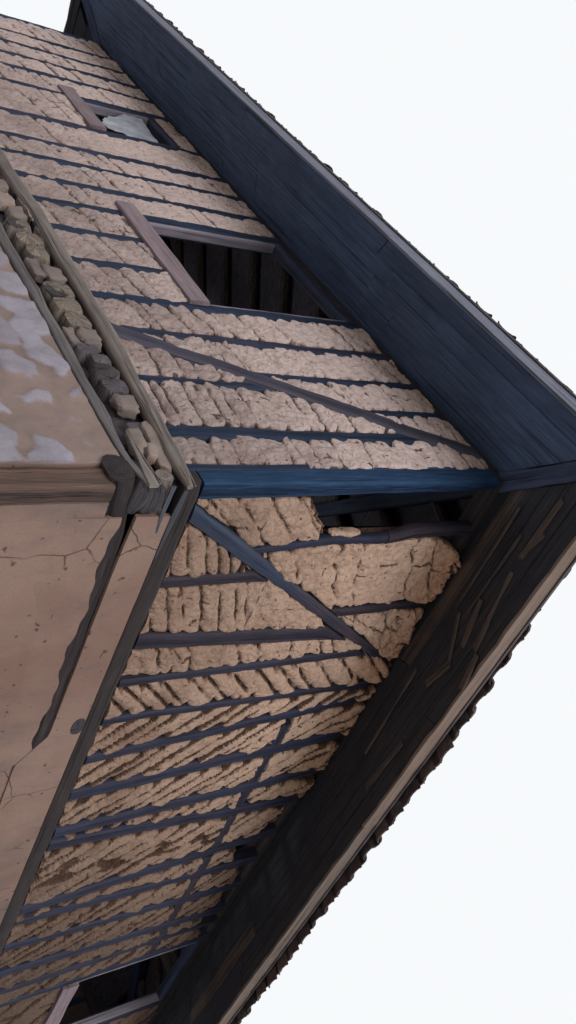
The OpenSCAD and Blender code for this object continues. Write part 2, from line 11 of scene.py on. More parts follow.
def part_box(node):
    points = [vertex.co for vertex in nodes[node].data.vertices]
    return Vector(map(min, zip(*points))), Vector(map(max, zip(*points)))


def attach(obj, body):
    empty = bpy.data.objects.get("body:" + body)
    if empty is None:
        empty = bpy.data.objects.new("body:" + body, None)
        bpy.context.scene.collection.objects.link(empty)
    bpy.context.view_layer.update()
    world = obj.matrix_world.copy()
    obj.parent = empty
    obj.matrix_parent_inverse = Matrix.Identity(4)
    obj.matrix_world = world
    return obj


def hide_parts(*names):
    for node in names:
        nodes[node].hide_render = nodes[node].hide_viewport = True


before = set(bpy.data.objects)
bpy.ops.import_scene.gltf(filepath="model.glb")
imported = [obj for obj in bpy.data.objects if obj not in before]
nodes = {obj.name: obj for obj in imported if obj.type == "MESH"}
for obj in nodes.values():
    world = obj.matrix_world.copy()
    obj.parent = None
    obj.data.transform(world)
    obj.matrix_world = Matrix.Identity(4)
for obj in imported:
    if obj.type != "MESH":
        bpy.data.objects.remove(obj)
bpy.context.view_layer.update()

# Levels and corners of the house, from the frame, in metres
(X0, Y0, UP), (X1, Y1, TOP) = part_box("corner_posts")
FRONT_LEN, SIDE_LEN = X1 - X0, Y1 - Y0
HOUSE_Y = (Y0 + Y1) / 2
STONE_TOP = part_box("left_stone_wall")[1].z
MUD_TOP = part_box("front_mud_wall")[1].z
SOLE_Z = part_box("front_sole_plates")[0].z
# How far the timbers of the upper storey lie behind the wall's face
STUD_IN = 0.015


# Camera, solved from the photograph's vanishing points

IMAGE_W, IMAGE_H = 576, 1024
FOCAL_PX = 955.96
AZIMUTH, ELEVATION, ROLL = (math.radians(a) for a in (47.720, 36.546, -1.686))
EYE = Vector((X0 - 2.7075, Y0 - 3.2108, 1.55))


def add_camera():
    forward = Vector((math.cos(ELEVATION) * math.cos(AZIMUTH), math.cos(ELEVATION) * math.sin(AZIMUTH),
                      math.sin(ELEVATION)))
    level = Vector((math.sin(AZIMUTH), -math.cos(AZIMUTH), 0))
    up = level.cross(forward)
    right = math.cos(ROLL) * level + math.sin(ROLL) * up
    up = -math.sin(ROLL) * level + math.cos(ROLL) * up
    # The photograph lies on its side, so the picture's right is the scene's up
    place = Matrix((up, -right, -forward)).transposed().to_4x4()
    place.translation = EYE
    camera = bpy.data.objects.new("camera", bpy.data.cameras.new("camera"))
    camera.matrix_world = place
    camera.data.sensor_fit = "VERTICAL"
    camera.data.sensor_height = 36
    camera.data.lens = FOCAL_PX / IMAGE_H * camera.data.sensor_height
    camera.data.clip_end = 200
    bpy.context.scene.collection.objects.link(camera)
    bpy.context.scene.camera = camera


def add_lamp(name, kind, energy, colour, rotation=(0, 0, 0), place=(0, 0, 0), **settings):
    lamp = bpy.data.objects.new(name, bpy.data.lights.new(name, kind))
    lamp.location = place
    lamp.data.energy = energy
    lamp.data.color = colour
    lamp.rotation_euler = [math.radians(a) for a in rotation]
    for key, value in settings.items():
        setattr(lamp.data, key, value)
    bpy.context.scene.collection.objects.link(lamp)


def add_light_and_floor():
    add_lamp("sky_sun", "SUN", 1.15, (1.0, 0.95, 0.88), (76, 0, -32), angle=0.9)
    add_lamp("fill_sun", "SUN", 1.2, (0.96, 0.97, 1.0), (86, 0, -52), angle=1.2)
    add_lamp("indoor_glow", "POINT", 90, (0.86, 0.92, 1.0), place=(0, HOUSE_Y, 5.3), shadow_soft_size=0.6)
    world = bpy.data.worlds.new("pale_surroundings")
    bpy.context.scene.world = world
    world.use_nodes = True
    tree = world.node_tree
    light = tree.nodes["Background"]
    light.inputs["Color"].default_value = (0.86, 0.92, 1.0, 1)
    light.inputs["Strength"].default_value = 0.62
    seen = tree.nodes.new("ShaderNodeBackground")
    seen.inputs["Color"].default_value = (0.93, 0.95, 0.97, 1)
    path = tree.nodes.new("ShaderNodeLightPath")
    mix = tree.nodes.new("ShaderNodeMixShader")
    tree.links.new(path.outputs["Is Camera Ray"], mix.inputs["Fac"])
    tree.links.new(light.outputs[0], mix.inputs[1])
    tree.links.new(seen.outputs[0], mix.inputs[2])
    tree.links.new(mix.outputs[0], tree.nodes["World Output"].inputs["Surface"])
    bpy.context.scene.view_settings.view_transform = "Standard"

    reach = 60
    mesh = bpy.data.meshes.new("floor")
    mesh.from_pydata([(-reach, -reach, 0), (reach, -reach, 0), (reach, reach, 0), (-reach, reach, 0)],
                     [], [(0, 1, 2, 3)])
    floor = bpy.data.objects.new("floor", mesh)
    bpy.context.scene.collection.objects.link(floor)
    material = bpy.data.materials.new("pale_floor")
    material.use_nodes = True
    shader = material.node_tree.nodes["Principled BSDF"]
    shader.inputs["Base Color"].default_value = (0.62, 0.61, 0.60, 1)
    shader.inputs["Roughness"].default_value = 0.9
    mesh.materials.append(material)


# Materials

def srgb(colour):
    """A colour given as it looks on screen, 0 to 255, as the linear values that nodes take."""
    return tuple(((c / 255 + 0.055) / 1.055) ** 2.4 if c > 10 else c / 3295 for c in colour) + (1,)


def toned(colour, by):
    """A colour made lighter or darker."""
    return tuple(min(1.0, by * c) for c in colour[:3]) + (1,)


class Shader:
    """A material under construction, with short calls for its nodes."""

    def __init__(self, name, roughness):
        self.material = bpy.data.materials.new(name)
        self.material.use_nodes = True
        self.tree = self.material.node_tree
        self.bsdf = self.tree.nodes["Principled BSDF"]
        self.bsdf.inputs["Roughness"].default_value = roughness
        self.bsdf.inputs["Specular IOR Level"].default_value = 0.25
        self.place = self.node("TexCoord").outputs["Object"]

    def feed(self, socket, value):
        if isinstance(value, bpy.types.NodeSocket):
            self.tree.links.new(value, socket)
        else:
            socket.default_value = value

    def node(self, kind, inputs=(), **settings):
        made = self.tree.nodes.new("ShaderNode" + kind)
        for key, value in settings.items():
            setattr(made, key, value)
        for key, value in dict(inputs).items():
            self.feed(made.inputs[key], value)
        return made

    def attribute(self, name, output="Fac"):
        return self.node("Attribute", attribute_name=name).outputs[output]

    def axis(self, name):
        return self.node("SeparateXYZ", {0: self.place}).outputs[name]

    def noise(self, vector, scale, detail=4.0, roughness=0.55):
        return self.node("TexNoise", {"Vector": vector, "Scale": scale, "Detail": detail,
                                      "Roughness": roughness}).outputs["Fac"]

    def stretched(self, vector, scale, detail, roughness=0.55):
        """Noise with a scale of its own along each axis."""
        drawn = self.node("Mapping", {"Vector": vector, "Scale": scale}).outputs[0]
        return self.noise(drawn, 1.0, detail, roughness)

    def cells(self, scale, wander, reach, feature):
        """Cells of uneven size; wander is the scale and reach the size of the bends in them."""
        noise = self.node("TexNoise", {"Vector": self.place, "Scale": scale * wander, "Detail": 3.0})
        bend = self.node("VectorMath", {0: noise.outputs["Color"], "Scale": reach / scale}, operation="SCALE")
        bent = self.node("VectorMath", {0: self.place, 1: bend.outputs[0]}, operation="ADD").outputs[0]
        return self.node("TexVoronoi", {"Vector": bent, "Scale": scale}, feature=feature).outputs["Distance"]

    def ramp(self, value, low, high, at_low=0.0, at_high=1.0):
        return self.node("MapRange", {"Value": value, "From Min": low, "From Max": high,
                                      "To Min": at_low, "To Max": at_high}, clamp=True).outputs[0]

    def math(self, operation, a, b):
        return self.node("Math", {0: a, 1: b}, operation=operation).outputs[0]

    def mix(self, factor, a, b):
        return self.node("Mix", {"Factor": factor, 6: a, 7: b}, data_type="RGBA").outputs[2]

    def over(self, colour, tone, mask, low=0.0, high=1.0, most=1.0):
        """Lays a tone over a colour where the mask goes from low to high, up to a share of most."""
        return self.mix(self.ramp(mask, low, high, 0.0, most), colour, tone)

    def finish(self, colour, *relief):
        """Sets the colour and the relief, in layers of height, strength and distance."""
        self.feed(self.bsdf.inputs["Base Color"], colour)
        under = {}
        for height, strength, distance in relief:
            bump = self.node("Bump", {"Height": height, "Strength": strength, "Distance": distance, **under})
            under = {"Normal": bump.outputs[0]}
        self.feed(self.bsdf.inputs["Normal"], under["Normal"])
        return self.material


def adobe_material(name, base, light, joint, top=None, far=None):
    """Mud brick: straw-flecked clay, stained along its joints, and painted lighter towards the eaves as painted light.
    far is the tone that the long walls darken to along x, from 2.4 m to 5.2 m past their left end."""
    base, light, joint = srgb(base), srgb(light), srgb(joint)
    s = Shader(name, 0.95)
    broad = s.noise(s.place, 2.6, 3.0)
    grit = s.noise(s.place, 60.0, 5.0, 0.7)
    crumb = s.noise(s.place, 17.0, 5.0, 0.62)
    colour = s.over(base, light, broad, 0.36, 0.62)
    colour = s.over(colour, joint, s.attribute("tint"), most=0.22)
    if top is not None:
        # Painted light: the clay is painted lighter with height, and in the top tone just under the eaves, in place of
        # the light that reaches under the eaves
        height = s.axis("Z")
        colour = s.over(colour, toned(light, 1.75), height, UP + 0.4, TOP - 0.3, 0.9)
        painted_light_height = s.math("ADD", height, s.math("MULTIPLY", broad, 0.6))
        colour = s.over(colour, srgb(top), painted_light_height, TOP - 0.10, TOP + 0.36)
    if far is not None:
        # Darker along x from 2.4 m to 5.2 m past the left end of the house
        colour = s.over(colour, srgb(far), s.axis("X"), X0 + 2.4, X0 + 5.2, 0.80)
    lumps = s.cells(24.0, 0.6, 1.6, "F1")
    colour = s.over(colour, joint, lumps, 0.55, 0.85, 0.24)
    colour = s.over(colour, joint, crumb, 0.54, 0.74, 0.24)
    colour = s.over(colour, joint, grit, 0.48, 0.74, 0.16)
    straw = s.stretched(s.place, (30, 30, 190), 2.0)
    colour = s.over(colour, light, straw, 0.62, 0.7, 0.4)
    hole = s.noise(s.place, 34.0, 1.0)
    colour = s.over(colour, joint, hole, 0.71, 0.75, 0.9)
    stain = s.math("ADD", s.attribute("edge"), s.ramp(crumb, 0.3, 0.7, -0.35, 0.25))
    colour = s.over(colour, tuple(0.6 * a + 0.4 * b for a, b in zip(joint, base)), stain, 0.25, 1.0, 0.60)
    crack = s.math("ADD", s.attribute("edge"), s.ramp(grit, 0.3, 0.7, -0.18, 0.18))
    crack = s.ramp(crack, 0.50, 0.74)
    colour = s.over(colour, toned(joint, 0.7), crack, most=0.92)
    return s.finish(colour, (grit, 0.7, 0.007), (crumb, 0.9, 0.034), (lumps, 0.7, -0.016),
                    (s.math("ADD", crack, s.ramp(hole, 0.71, 0.76)), 0.7, -0.010))


def plaster_material(name, base, stain, light):
    """Mud plaster with broad stains, hairline cracks and lost grains."""
    base, stain, light, dark = srgb(base), srgb(stain), srgb(light), srgb((62, 50, 44))
    s = Shader(name, 0.93)
    grit = s.noise(s.place, 70.0, 4.0, 0.7)
    colour = s.over(base, light, s.noise(s.place, 1.1, 5.0, 0.6), 0.40, 0.62)
    colour = s.over(colour, stain, s.stretched(s.place, (1.6, 1.6, 0.9), 6.0, 0.62), 0.48, 0.66, 0.75)
    colour = s.over(colour, stain, grit, 0.45, 0.75, 0.35)
    line = s.ramp(s.cells(2.3, 1.7, 0.25, "DISTANCE_TO_EDGE"), 0.0, 0.012, 1.0, 0.0)
    line = s.math("MULTIPLY", line, s.ramp(s.noise(s.place, 1.7, 2.0), 0.56, 0.64))
    pits = s.ramp(s.noise(s.place, 20.0, 1.0), 0.72, 0.77)
    colour = s.over(colour, dark, line, most=0.8)
    colour = s.over(colour, dark, pits, most=0.7)
    return s.finish(colour, (grit, 0.35, 0.003), (s.noise(s.place, 6.0, 5.0, 0.55), 0.5, 0.02),
                    (s.math("ADD", line, pits), 0.6, -0.008))


def stone_material(name, light, mid, dark, mud):
    """A rubble wall: weathered stones, each with its own tone, and the mud smeared around them."""
    light, mid, dark, mud = srgb(light), srgb(mid), srgb(dark), srgb(mud)
    s = Shader(name, 0.9)
    colour = s.over(mid, light, s.attribute("tint"), 0.25, 0.75)
    colour = s.over(colour, dark, s.noise(s.place, 5.0, 5.0, 0.6), 0.45, 0.7, 0.5)
    clay = s.over(mud, toned(mud, 0.72), s.noise(s.place, 2.0, 4.0, 0.6), 0.4, 0.65)
    smear = s.ramp(s.noise(s.place, 9.0, 5.0, 0.65), 0.3, 0.75, -0.4, 0.4)
    colour = s.over(colour, clay, s.math("ADD", s.attribute("edge"), smear), 0.22, 0.78)
    speck = s.noise(s.place, 90.0, 3.0, 0.7)
    colour = s.over(colour, dark, speck, 0.5, 0.8, 0.35)
    return s.finish(colour, (speck, 0.3, 0.003), (s.noise(s.place, 13.0, 5.0, 0.6), 0.6, 0.014))


def wood_material(name, dark, mid, light, other=None, fibrous=0.45, along=None):
    """Old timber: streaks and checks along the grain, bleached edges and dark stains.
    other is the tone of the timbers whose tint is high, and fibrous how much the fibres show;
    along is the axis that the grain follows, or None where the mesh carries its own."""
    dark, mid, light = srgb(dark), srgb(mid), srgb(light)
    s = Shader(name, 0.82)
    grain = s.place if along else s.attribute("grain", "Vector")
    if along in ("x", "y"):
        turn = (0, math.pi / 2, 0) if along == "x" else (math.pi / 2, 0, 0)
        grain = s.node("Mapping", {"Vector": grain, "Rotation": turn}).outputs[0]
    streak = s.stretched(grain, (30, 30, 1.2), 5.0, 0.62)
    fibre = s.stretched(grain, (170, 170, 5), 3.0, 0.6)
    split = s.ramp(s.stretched(grain, (48, 48, 0.9), 2.0, 0.4), 0.64, 0.68)
    if other is not None:
        mid = s.over(mid, srgb(other), s.attribute("tint"), 0.2, 0.8)
    colour = s.over(dark, mid, streak, 0.30, 0.62)
    colour = s.over(colour, light, fibre, 0.45, 0.75, fibrous)
    colour = s.over(colour, dark, s.noise(grain, 3.2, 4.0, 0.6), 0.45, 0.70, 0.55)
    if along is None and other is None:
        colour = s.over(colour, dark, s.attribute("tint"), most=0.35)
    if along is None:
        colour = s.over(colour, light, s.attribute("edge"), 0.2, 1.0, 0.4)
    colour = s.over(colour, toned(dark, 0.4), split, most=0.6)
    return s.finish(colour, (fibre, 0.35, 0.002), (streak, 0.6, 0.007), (split, 0.7, -0.006))


def tile_material(name, base, dark, light):
    """Old clay tiles, each of its own firing, with lichen and soot."""
    base, dark, light = srgb(base), srgb(dark), srgb(light)
    s = Shader(name, 0.85)
    colour = s.mix(s.attribute("tint"), base, dark)
    colour = s.over(colour, light, s.noise(s.place, 7.0, 5.0, 0.6), 0.5, 0.75, 0.7)
    colour = s.over(colour, dark, s.noise(s.place, 22.0, 4.0, 0.7), 0.5, 0.8, 0.5)
    return s.finish(colour, (s.noise(s.place, 60.0, 4.0, 0.7), 0.4, 0.003))


def film_material():
    """White plastic film, dusty and creased."""
    s = Shader("plastic_film", 0.45)
    s.bsdf.inputs["Alpha"].default_value = 0.86
    colour = s.over(srgb((196, 198, 204)), srgb((160, 160, 168)), s.noise(s.place, 9.0, 4.0, 0.6), 0.4, 0.7)
    return s.finish(colour, (s.noise(s.place, 24.0, 3.0), 0.4, 0.006))


# Smooth noise and mesh gathering

def smooth_noise(points, size):
    """Smooth values from -1 to 1 at an array of points, with bumps about size apart."""
    q = np.asarray(points, float) / size
    cell = np.floor(q).astype(np.int64)
    part = q - cell
    part = part * part * (3 - 2 * part)
    total = np.zeros(q.shape[:-1])
    for corner in np.ndindex(2, 2, 2):
        at = cell + corner
        h = (at[..., 0] * 73856093) ^ (at[..., 1] * 19349663) ^ (at[..., 2] * 83492791)
        h = ((h ^ (h >> 13)) * 1274126177) & 0xFFFFFFFF
        value = ((h ^ (h >> 16)) & 0xFFFF) / 32767.5 - 1
        total += np.prod(np.where(corner, part, 1 - part), axis=-1) * value
    return total


class Heap:
    """Vertices, faces and per-vertex values, gathered until they become one piece."""

    def __init__(self):
        self.verts, self.faces, self.grain, self.tint, self.edge = [], [], [], [], []
        self.count = 0

    def add(self, verts, faces, tint, edge, grain=None):
        verts = np.asarray(verts, float)
        n = len(verts)
        self.verts.append(verts)
        self.faces += [tuple(i + self.count for i in f) for f in faces]
        self.tint.append(np.full(n, tint) if np.isscalar(tint) else np.asarray(tint, float))
        self.edge.append(np.full(n, edge) if np.isscalar(edge) else np.asarray(edge, float))
        self.grain.append(verts if grain is None else np.asarray(grain, float))
        self.count += n

    def piece(self, name, material, slot, wall=None, replaces=()):
        verts = np.concatenate(self.verts)
        faces = self.faces
        if wall is not None:
            verts = wall.to_world(verts)
            if wall.mirrored:
                faces = [f[::-1] for f in faces]
        mesh = bpy.data.meshes.new(name)
        mesh.from_pydata(verts.tolist(), [], faces)
        for key, values, kind in (("tint", self.tint, "FLOAT"), ("edge", self.edge, "FLOAT"),
                                  ("grain", self.grain, "FLOAT_VECTOR")):
            layer = mesh.attributes.new(key, kind, "POINT")
            flat = np.concatenate(values).astype(np.float32).ravel()
            layer.data.foreach_set("value" if kind == "FLOAT" else "vector", flat)
        mesh.materials.append(material)
        mesh.shade_smooth()
        mesh.set_sharp_from_angle(angle=math.radians(50))
        made = bpy.data.objects.new(name, mesh)
        bpy.context.scene.collection.objects.link(made)
        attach(made, "root")
        for node in replaces:
            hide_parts(node)
        return made


class Wall:
    """One side of the house: s runs along it from its near corner, d inwards from its face, z up."""

    def __init__(self, name, corner, along, inward, seed):
        self.name, self.seed = name, seed
        self.corner = np.array(corner, float)
        self.axes = np.array([along, inward], float)
        self.mirrored = along[0] * inward[1] - along[1] * inward[0] < 0
        self.long = along[0] != 0
        self.length = FRONT_LEN if self.long else SIDE_LEN
        self.braces = "front_braces" if self.long else "side_braces"

    def to_world(self, points):
        points = np.asarray(points, float)
        flat = points[:, :2] @ self.axes + self.corner
        return np.column_stack((flat, points[:, 2]))

    def from_world(self, points):
        points = np.asarray(points, float)
        flat = (points[:, :2] - self.corner) @ self.axes.T
        return np.column_stack((flat, points[:, 2]))


FRONT = Wall("front", (X0, Y0), (1, 0), (0, 1), 1)
LEFT = Wall("left", (X0, Y0), (0, 1), (1, 0), 2)
BACK = Wall("back", (X1, Y1), (-1, 0), (0, -1), 3)
RIGHT = Wall("right", (X1, Y1), (0, -1), (-1, 0), 4)
# Depths from a wall's face between which its timbers lie
IN_WALL = (-0.2, 0.3)


def solids(node):
    """The separate solids of a CAD node: for each its corners and its edges, as pairs of corners."""
    work = bmesh.new()
    work.from_mesh(nodes[node].data)
    bmesh.ops.remove_doubles(work, verts=work.verts, dist=1e-5)
    left = set(work.verts)
    found = []
    for first in work.verts:
        if first not in left:
            continue
        left.discard(first)
        group, reach = set(), [first]
        while reach:
            v = reach.pop()
            group.add(v)
            for e in v.link_edges:
                other = e.other_vert(v)
                if other in left:
                    left.discard(other)
                    reach.append(other)
        edges = {e for v in group for e in v.link_edges}
        found.append((np.array([v.co for v in group]),
                      np.array([[e.verts[0].co, e.verts[1].co] for e in edges])))
    work.free()
    return found


class Member:
    """One timber of a wall, by its reach along the wall at each height."""

    def __init__(self, corners, edges, kind):
        self.kind = kind
        self.low, self.high = corners[:, 2].min(), corners[:, 2].max()
        self.front, self.back = corners[:, 1].min(), corners[:, 1].max()
        self.left, self.right = corners[:, 0].min(), corners[:, 0].max()
        self.heights = sorted(set(corners[:, 2].round(4)))
        self.edges = edges[np.abs(edges[:, 0, 2] - edges[:, 1, 2]) > 1e-6]

    def span(self, z):
        z = min(max(z, self.low + 1e-4), self.high - 1e-4)
        a, b = self.edges[:, 0], self.edges[:, 1]
        t = (z - a[:, 2]) / (b[:, 2] - a[:, 2])
        s = (a[:, 0] + t * (b[:, 0] - a[:, 0]))[(t >= 0) & (t <= 1)]
        return s.min(), s.max()


# The crooked stud beside the front left post, a round pole in two lengths that meet at the height
# of BEND: height, middle and radius
CROOKED = ((4.135, 0.560, 0.034), (4.60, 0.523, 0.033), (4.75, 0.506, 0.032), (4.88, 0.497, 0.033),
           (5.07, 0.477, 0.034), (5.25, 0.467, 0.031), (5.50, 0.477, 0.033), (5.62, 0.480, 0.035),
           (5.74, 0.460, 0.040), (5.86, 0.425, 0.043), (6.10, 0.420, 0.044), (6.42, 0.420, 0.045))
BEND = 5.70


def crooked_span(z):
    heights, middles, halves = zip(*CROOKED)
    middle, half = np.interp(z, heights, middles), np.interp(z, heights, halves)
    return middle - half, middle + half


def members(wall, node, kind):
    """The solids of a node that lie in this wall, in order along it."""
    found = []
    for corners, edges in solids(node):
        corners = wall.from_world(corners)
        edges = wall.from_world(edges.reshape(-1, 3)).reshape(-1, 2, 3)
        if IN_WALL[0] < corners[:, 1].min() and corners[:, 1].max() < IN_WALL[1]:
            found.append(Member(corners, edges, kind))
    found.sort(key=lambda m: m.left)
    if node == "front_studs" and wall is FRONT:
        found[0].span = crooked_span
    if node == "front_braces":
        for member in found:
            member.span = slimmer(member)
    return found


def slimmer(member):
    """A brace's reach along the wall, hewn slimmer towards its upper end."""
    whole = member.span

    def span(z):
        a, b = whole(z)
        middle, half = (a + b) / 2, (b - a) / 2
        half *= float(np.interp(z, (member.low, member.high), (1.05, 0.66)))
        return middle - half, middle + half

    return span


# Lofted timber

BEAM_SIDES = 14


def end_grain(heap, ring, out, tint, rng, spokes):
    """Closes a log's end, with radial checks where it was hewn to a blunt point, else rings."""
    ring = np.asarray(ring)
    k = len(ring)
    centre = ring.mean(axis=0)
    size = np.linalg.norm(ring - centre, axis=1)
    centre = centre + np.asarray(out) * (rng.uniform(0.05, 0.2) * size.mean() if spokes else 0.002)
    if spokes:
        centre = centre + (ring[0] - centre) * rng.uniform(-0.4, 0.4)
    shift = rng.uniform(0, 50)
    verts, grain, faces = [], [], []
    for j in range(k):
        i = (j + 1) % k
        verts += [centre, ring[j], ring[i]]
        if spokes:
            grain += [((j + 0.5) / k, 0, 0), (j / k, 0, size[j]), ((j + 1) / k, 0, size[i])]
        else:
            grain += [(0, 0, (j + 0.5) / k), (size[j] * 3, 0, j / k), (size[i] * 3, 0, (j + 1) / k)]
        faces.append((3 * j, 3 * j + 1, 3 * j + 2))
    heap.add(verts, faces, tint, 0.25, np.array(grain) + shift)


def loft(heap, rings, tint, edge, grain, ends=None):
    """Skins a row of rings and closes both ends: with grain, where ends gives what end_grain()
    takes, or else with plain faces."""
    rings = np.asarray(rings)
    n, k = rings.shape[:2]
    verts = rings.reshape(-1, 3)
    faces = []
    for i in range(n - 1):
        for j in range(k):
            a, b = i * k + j, i * k + (j + 1) % k
            faces.append((a, b, b + k, a + k))
    if ends is None:
        faces.append(tuple(range(k - 1, -1, -1)))
        faces.append(tuple(range((n - 1) * k, n * k)))
    else:
        along = rings[-1].mean(axis=0) - rings[0].mean(axis=0)
        along /= np.linalg.norm(along)
        end_grain(heap, rings[0][::-1], -along, tint, *ends)
        end_grain(heap, rings[-1], along, tint, *ends)
    heap.add(verts, faces, tint, edge, grain)


def beam(heap, path, half_a, half_b, rng, square=5.0, rough=0.006, tint=None, spokes=None):
    """A hewn timber along a path. half_a and half_b are arrays of vectors from the middle to its
    two sides at each point; square is 2 for a round log and more for a squared timber; spokes
    is true where its ends were hewn and false where they show rings."""
    path, half_a, half_b = (np.asarray(v, float) for v in (path, half_a, half_b))
    turn = (np.arange(BEAM_SIDES) + 0.5) * 2 * math.pi / BEAM_SIDES
    c, s = np.cos(turn), np.sin(turn)
    ca = np.sign(c) * np.abs(c) ** (2 / square)
    cb = np.sign(s) * np.abs(s) ** (2 / square)
    rings = path[:, None] + half_a[:, None] * ca[None, :, None] + half_b[:, None] * cb[None, :, None]
    away = rings - path[:, None]
    size = np.linalg.norm(away, axis=2, keepdims=True) + 1e-9
    shift = rng.uniform(0, 50)
    wobble = smooth_noise(rings * (1, 1, 0.45) + shift, 0.16) * rough
    wobble += smooth_noise(rings + shift, 0.05) * rough * 0.5
    rings = rings + away / size * np.minimum(wobble, 0.4 * size[..., 0])[..., None]
    length = np.concatenate(([0], np.cumsum(np.linalg.norm(np.diff(path, axis=0), axis=1))))
    la, lb = (np.linalg.norm(v, axis=1) for v in (half_a, half_b))
    grain = np.stack((ca[None] * la[:, None] + shift, cb[None] * lb[:, None] + shift * 0.7,
                      np.repeat(length[:, None], BEAM_SIDES, 1) + shift), axis=2)
    edge = np.tile(np.clip(np.abs(ca * cb) * 1.2 - 0.2, 0, 1), len(path))
    if np.linalg.det(np.stack((half_a[0] + 1e-9, half_b[0], path[-1] - path[0]))) < 0:
        rings, grain = rings[:, ::-1], grain[:, ::-1]
    loft(heap, rings, rng.random() if tint is None else tint, edge, grain.reshape(-1, 3),
         None if spokes is None else (rng, spokes))


def upright(heap, member, rng, proud=0.0, taper=None, square=5.0, rough=0.006, step=0.07, tint=None, foot=0.0):
    """A stud, post or brace, hewn to the outline of its CAD solid. proud is how far it stands out
    of that, taper changes its sides at a height, and foot lengthens it downwards."""
    low, high = member.low - foot, member.high
    count = max(2, int((high - low) / step))
    heights = set(np.linspace(low, high, count + 1).round(4)) | {z for z in member.heights if low < z < high}
    path, half_a, half_b = [], [], []
    depth = (member.back - member.front + proud) / 2
    for z in sorted(heights):
        a, b = member.span(z)
        if taper:
            a, b = taper(z, a, b)
        path.append(((a + b) / 2, member.front - proud + depth, z))
        half_a.append((max((b - a) / 2, 0.002), 0, 0))
        half_b.append((0, depth, 0))
    beam(heap, path, half_a, half_b, rng, square, rough, tint)


# Adobe panels

def columns(timbers):
    """Panels between neighbouring timbers, where the gap is wider than least: left and right
    timber, lowest and highest point."""
    step, least = 0.01, 0.02
    running, found = {}, []
    z = UP + step / 2
    while z < TOP + step:
        here = sorted((m.span(z) + (i,) for i, m in enumerate(timbers) if m.low <= z <= m.high),
                      key=lambda e: e[0])
        pairs = {(a[2], b[2]) for a, b in zip(here, here[1:]) if b[0] - a[1] > least}
        for pair in pairs:
            running.setdefault(pair, z - step / 2)
        for pair in [p for p in running if p not in pairs]:
            found.append((timbers[pair[0]], timbers[pair[1]], running.pop(pair), min(z - step / 2, TOP)))
        z += step
    return found


# Mud packed against the eaves stands out over the front top plate
PACKED_TO, PACKED_OUT = TOP + 0.075, 0.045
# Depths from a wall's face: the back of the bricks, and of the mud in their joints
BRICK_BACK, JOINT_BACK = 0.112, 0.10


def packed_out(s, z):
    """How far the mud at the top of the front wall stands out."""
    t = np.clip((z - TOP + 0.22) / 0.26, 0, 1)
    return PACKED_OUT * t * t * (3 - 2 * t) * np.clip((3.7 - s) / 0.3, 0, 1) * np.clip((s - 0.4) / 0.2, 0, 1)


def ease(distance, reach):
    """1 where distance is 0, falling to 0 at reach."""
    return 1 - np.clip(distance / reach, 0, 1)


def rounded(near, depth):
    """How far a rounded edge falls back, from how near it is."""
    return depth * (1 - np.sqrt(1 - 0.96 * near ** 2))


def puffs(points, size):
    """Rounded lumps with creases between them."""
    return 2 * np.abs(smooth_noise(points, size))


def rim_of(rows, cols):
    """The indices around a grid of points."""
    return [c for c in range(cols)] + [r * cols + cols - 1 for r in range(1, rows)] \
        + [(rows - 1) * cols + c for c in range(cols - 2, -1, -1)] + [r * cols for r in range(rows - 2, 0, -1)]


def shell(heap, points, back, tint, edge, rim_tint=None, rim_edge=1.0, closed=False):
    """Adds a grid of face points, with sides that reach in to the depth of back, and a back if
    closed. The rim's tint is that of the face if it isn't given."""
    rows, cols = points.shape[:2]
    verts = points.reshape(-1, 3)
    tall = points[1:, :, 2] - points[:-1, :, 2] > 1e-6
    faces = [(r * cols + c, r * cols + c + 1, (r + 1) * cols + c + 1, (r + 1) * cols + c)
             for r, c in zip(*np.nonzero(tall[:, :-1] | tall[:, 1:]))]
    ring = rim_of(rows, cols)
    rear = verts[ring].copy()
    rear[:, 1] = back
    n, k = len(verts), len(ring)
    faces += [(ring[(i + 1) % k], ring[i], n + i, n + (i + 1) % k) for i in range(k)]
    if closed:
        faces.append(tuple(n + i for i in range(k - 1, -1, -1)))
    tint, edge = (np.broadcast_to(v, (rows, cols)).ravel() for v in (tint, edge))
    rim = tint[ring] if rim_tint is None else np.full(k, rim_tint)
    heap.add(np.concatenate((verts, rear)), faces, np.concatenate((tint, rim)),
             np.concatenate((edge, np.full(k, rim_edge))))


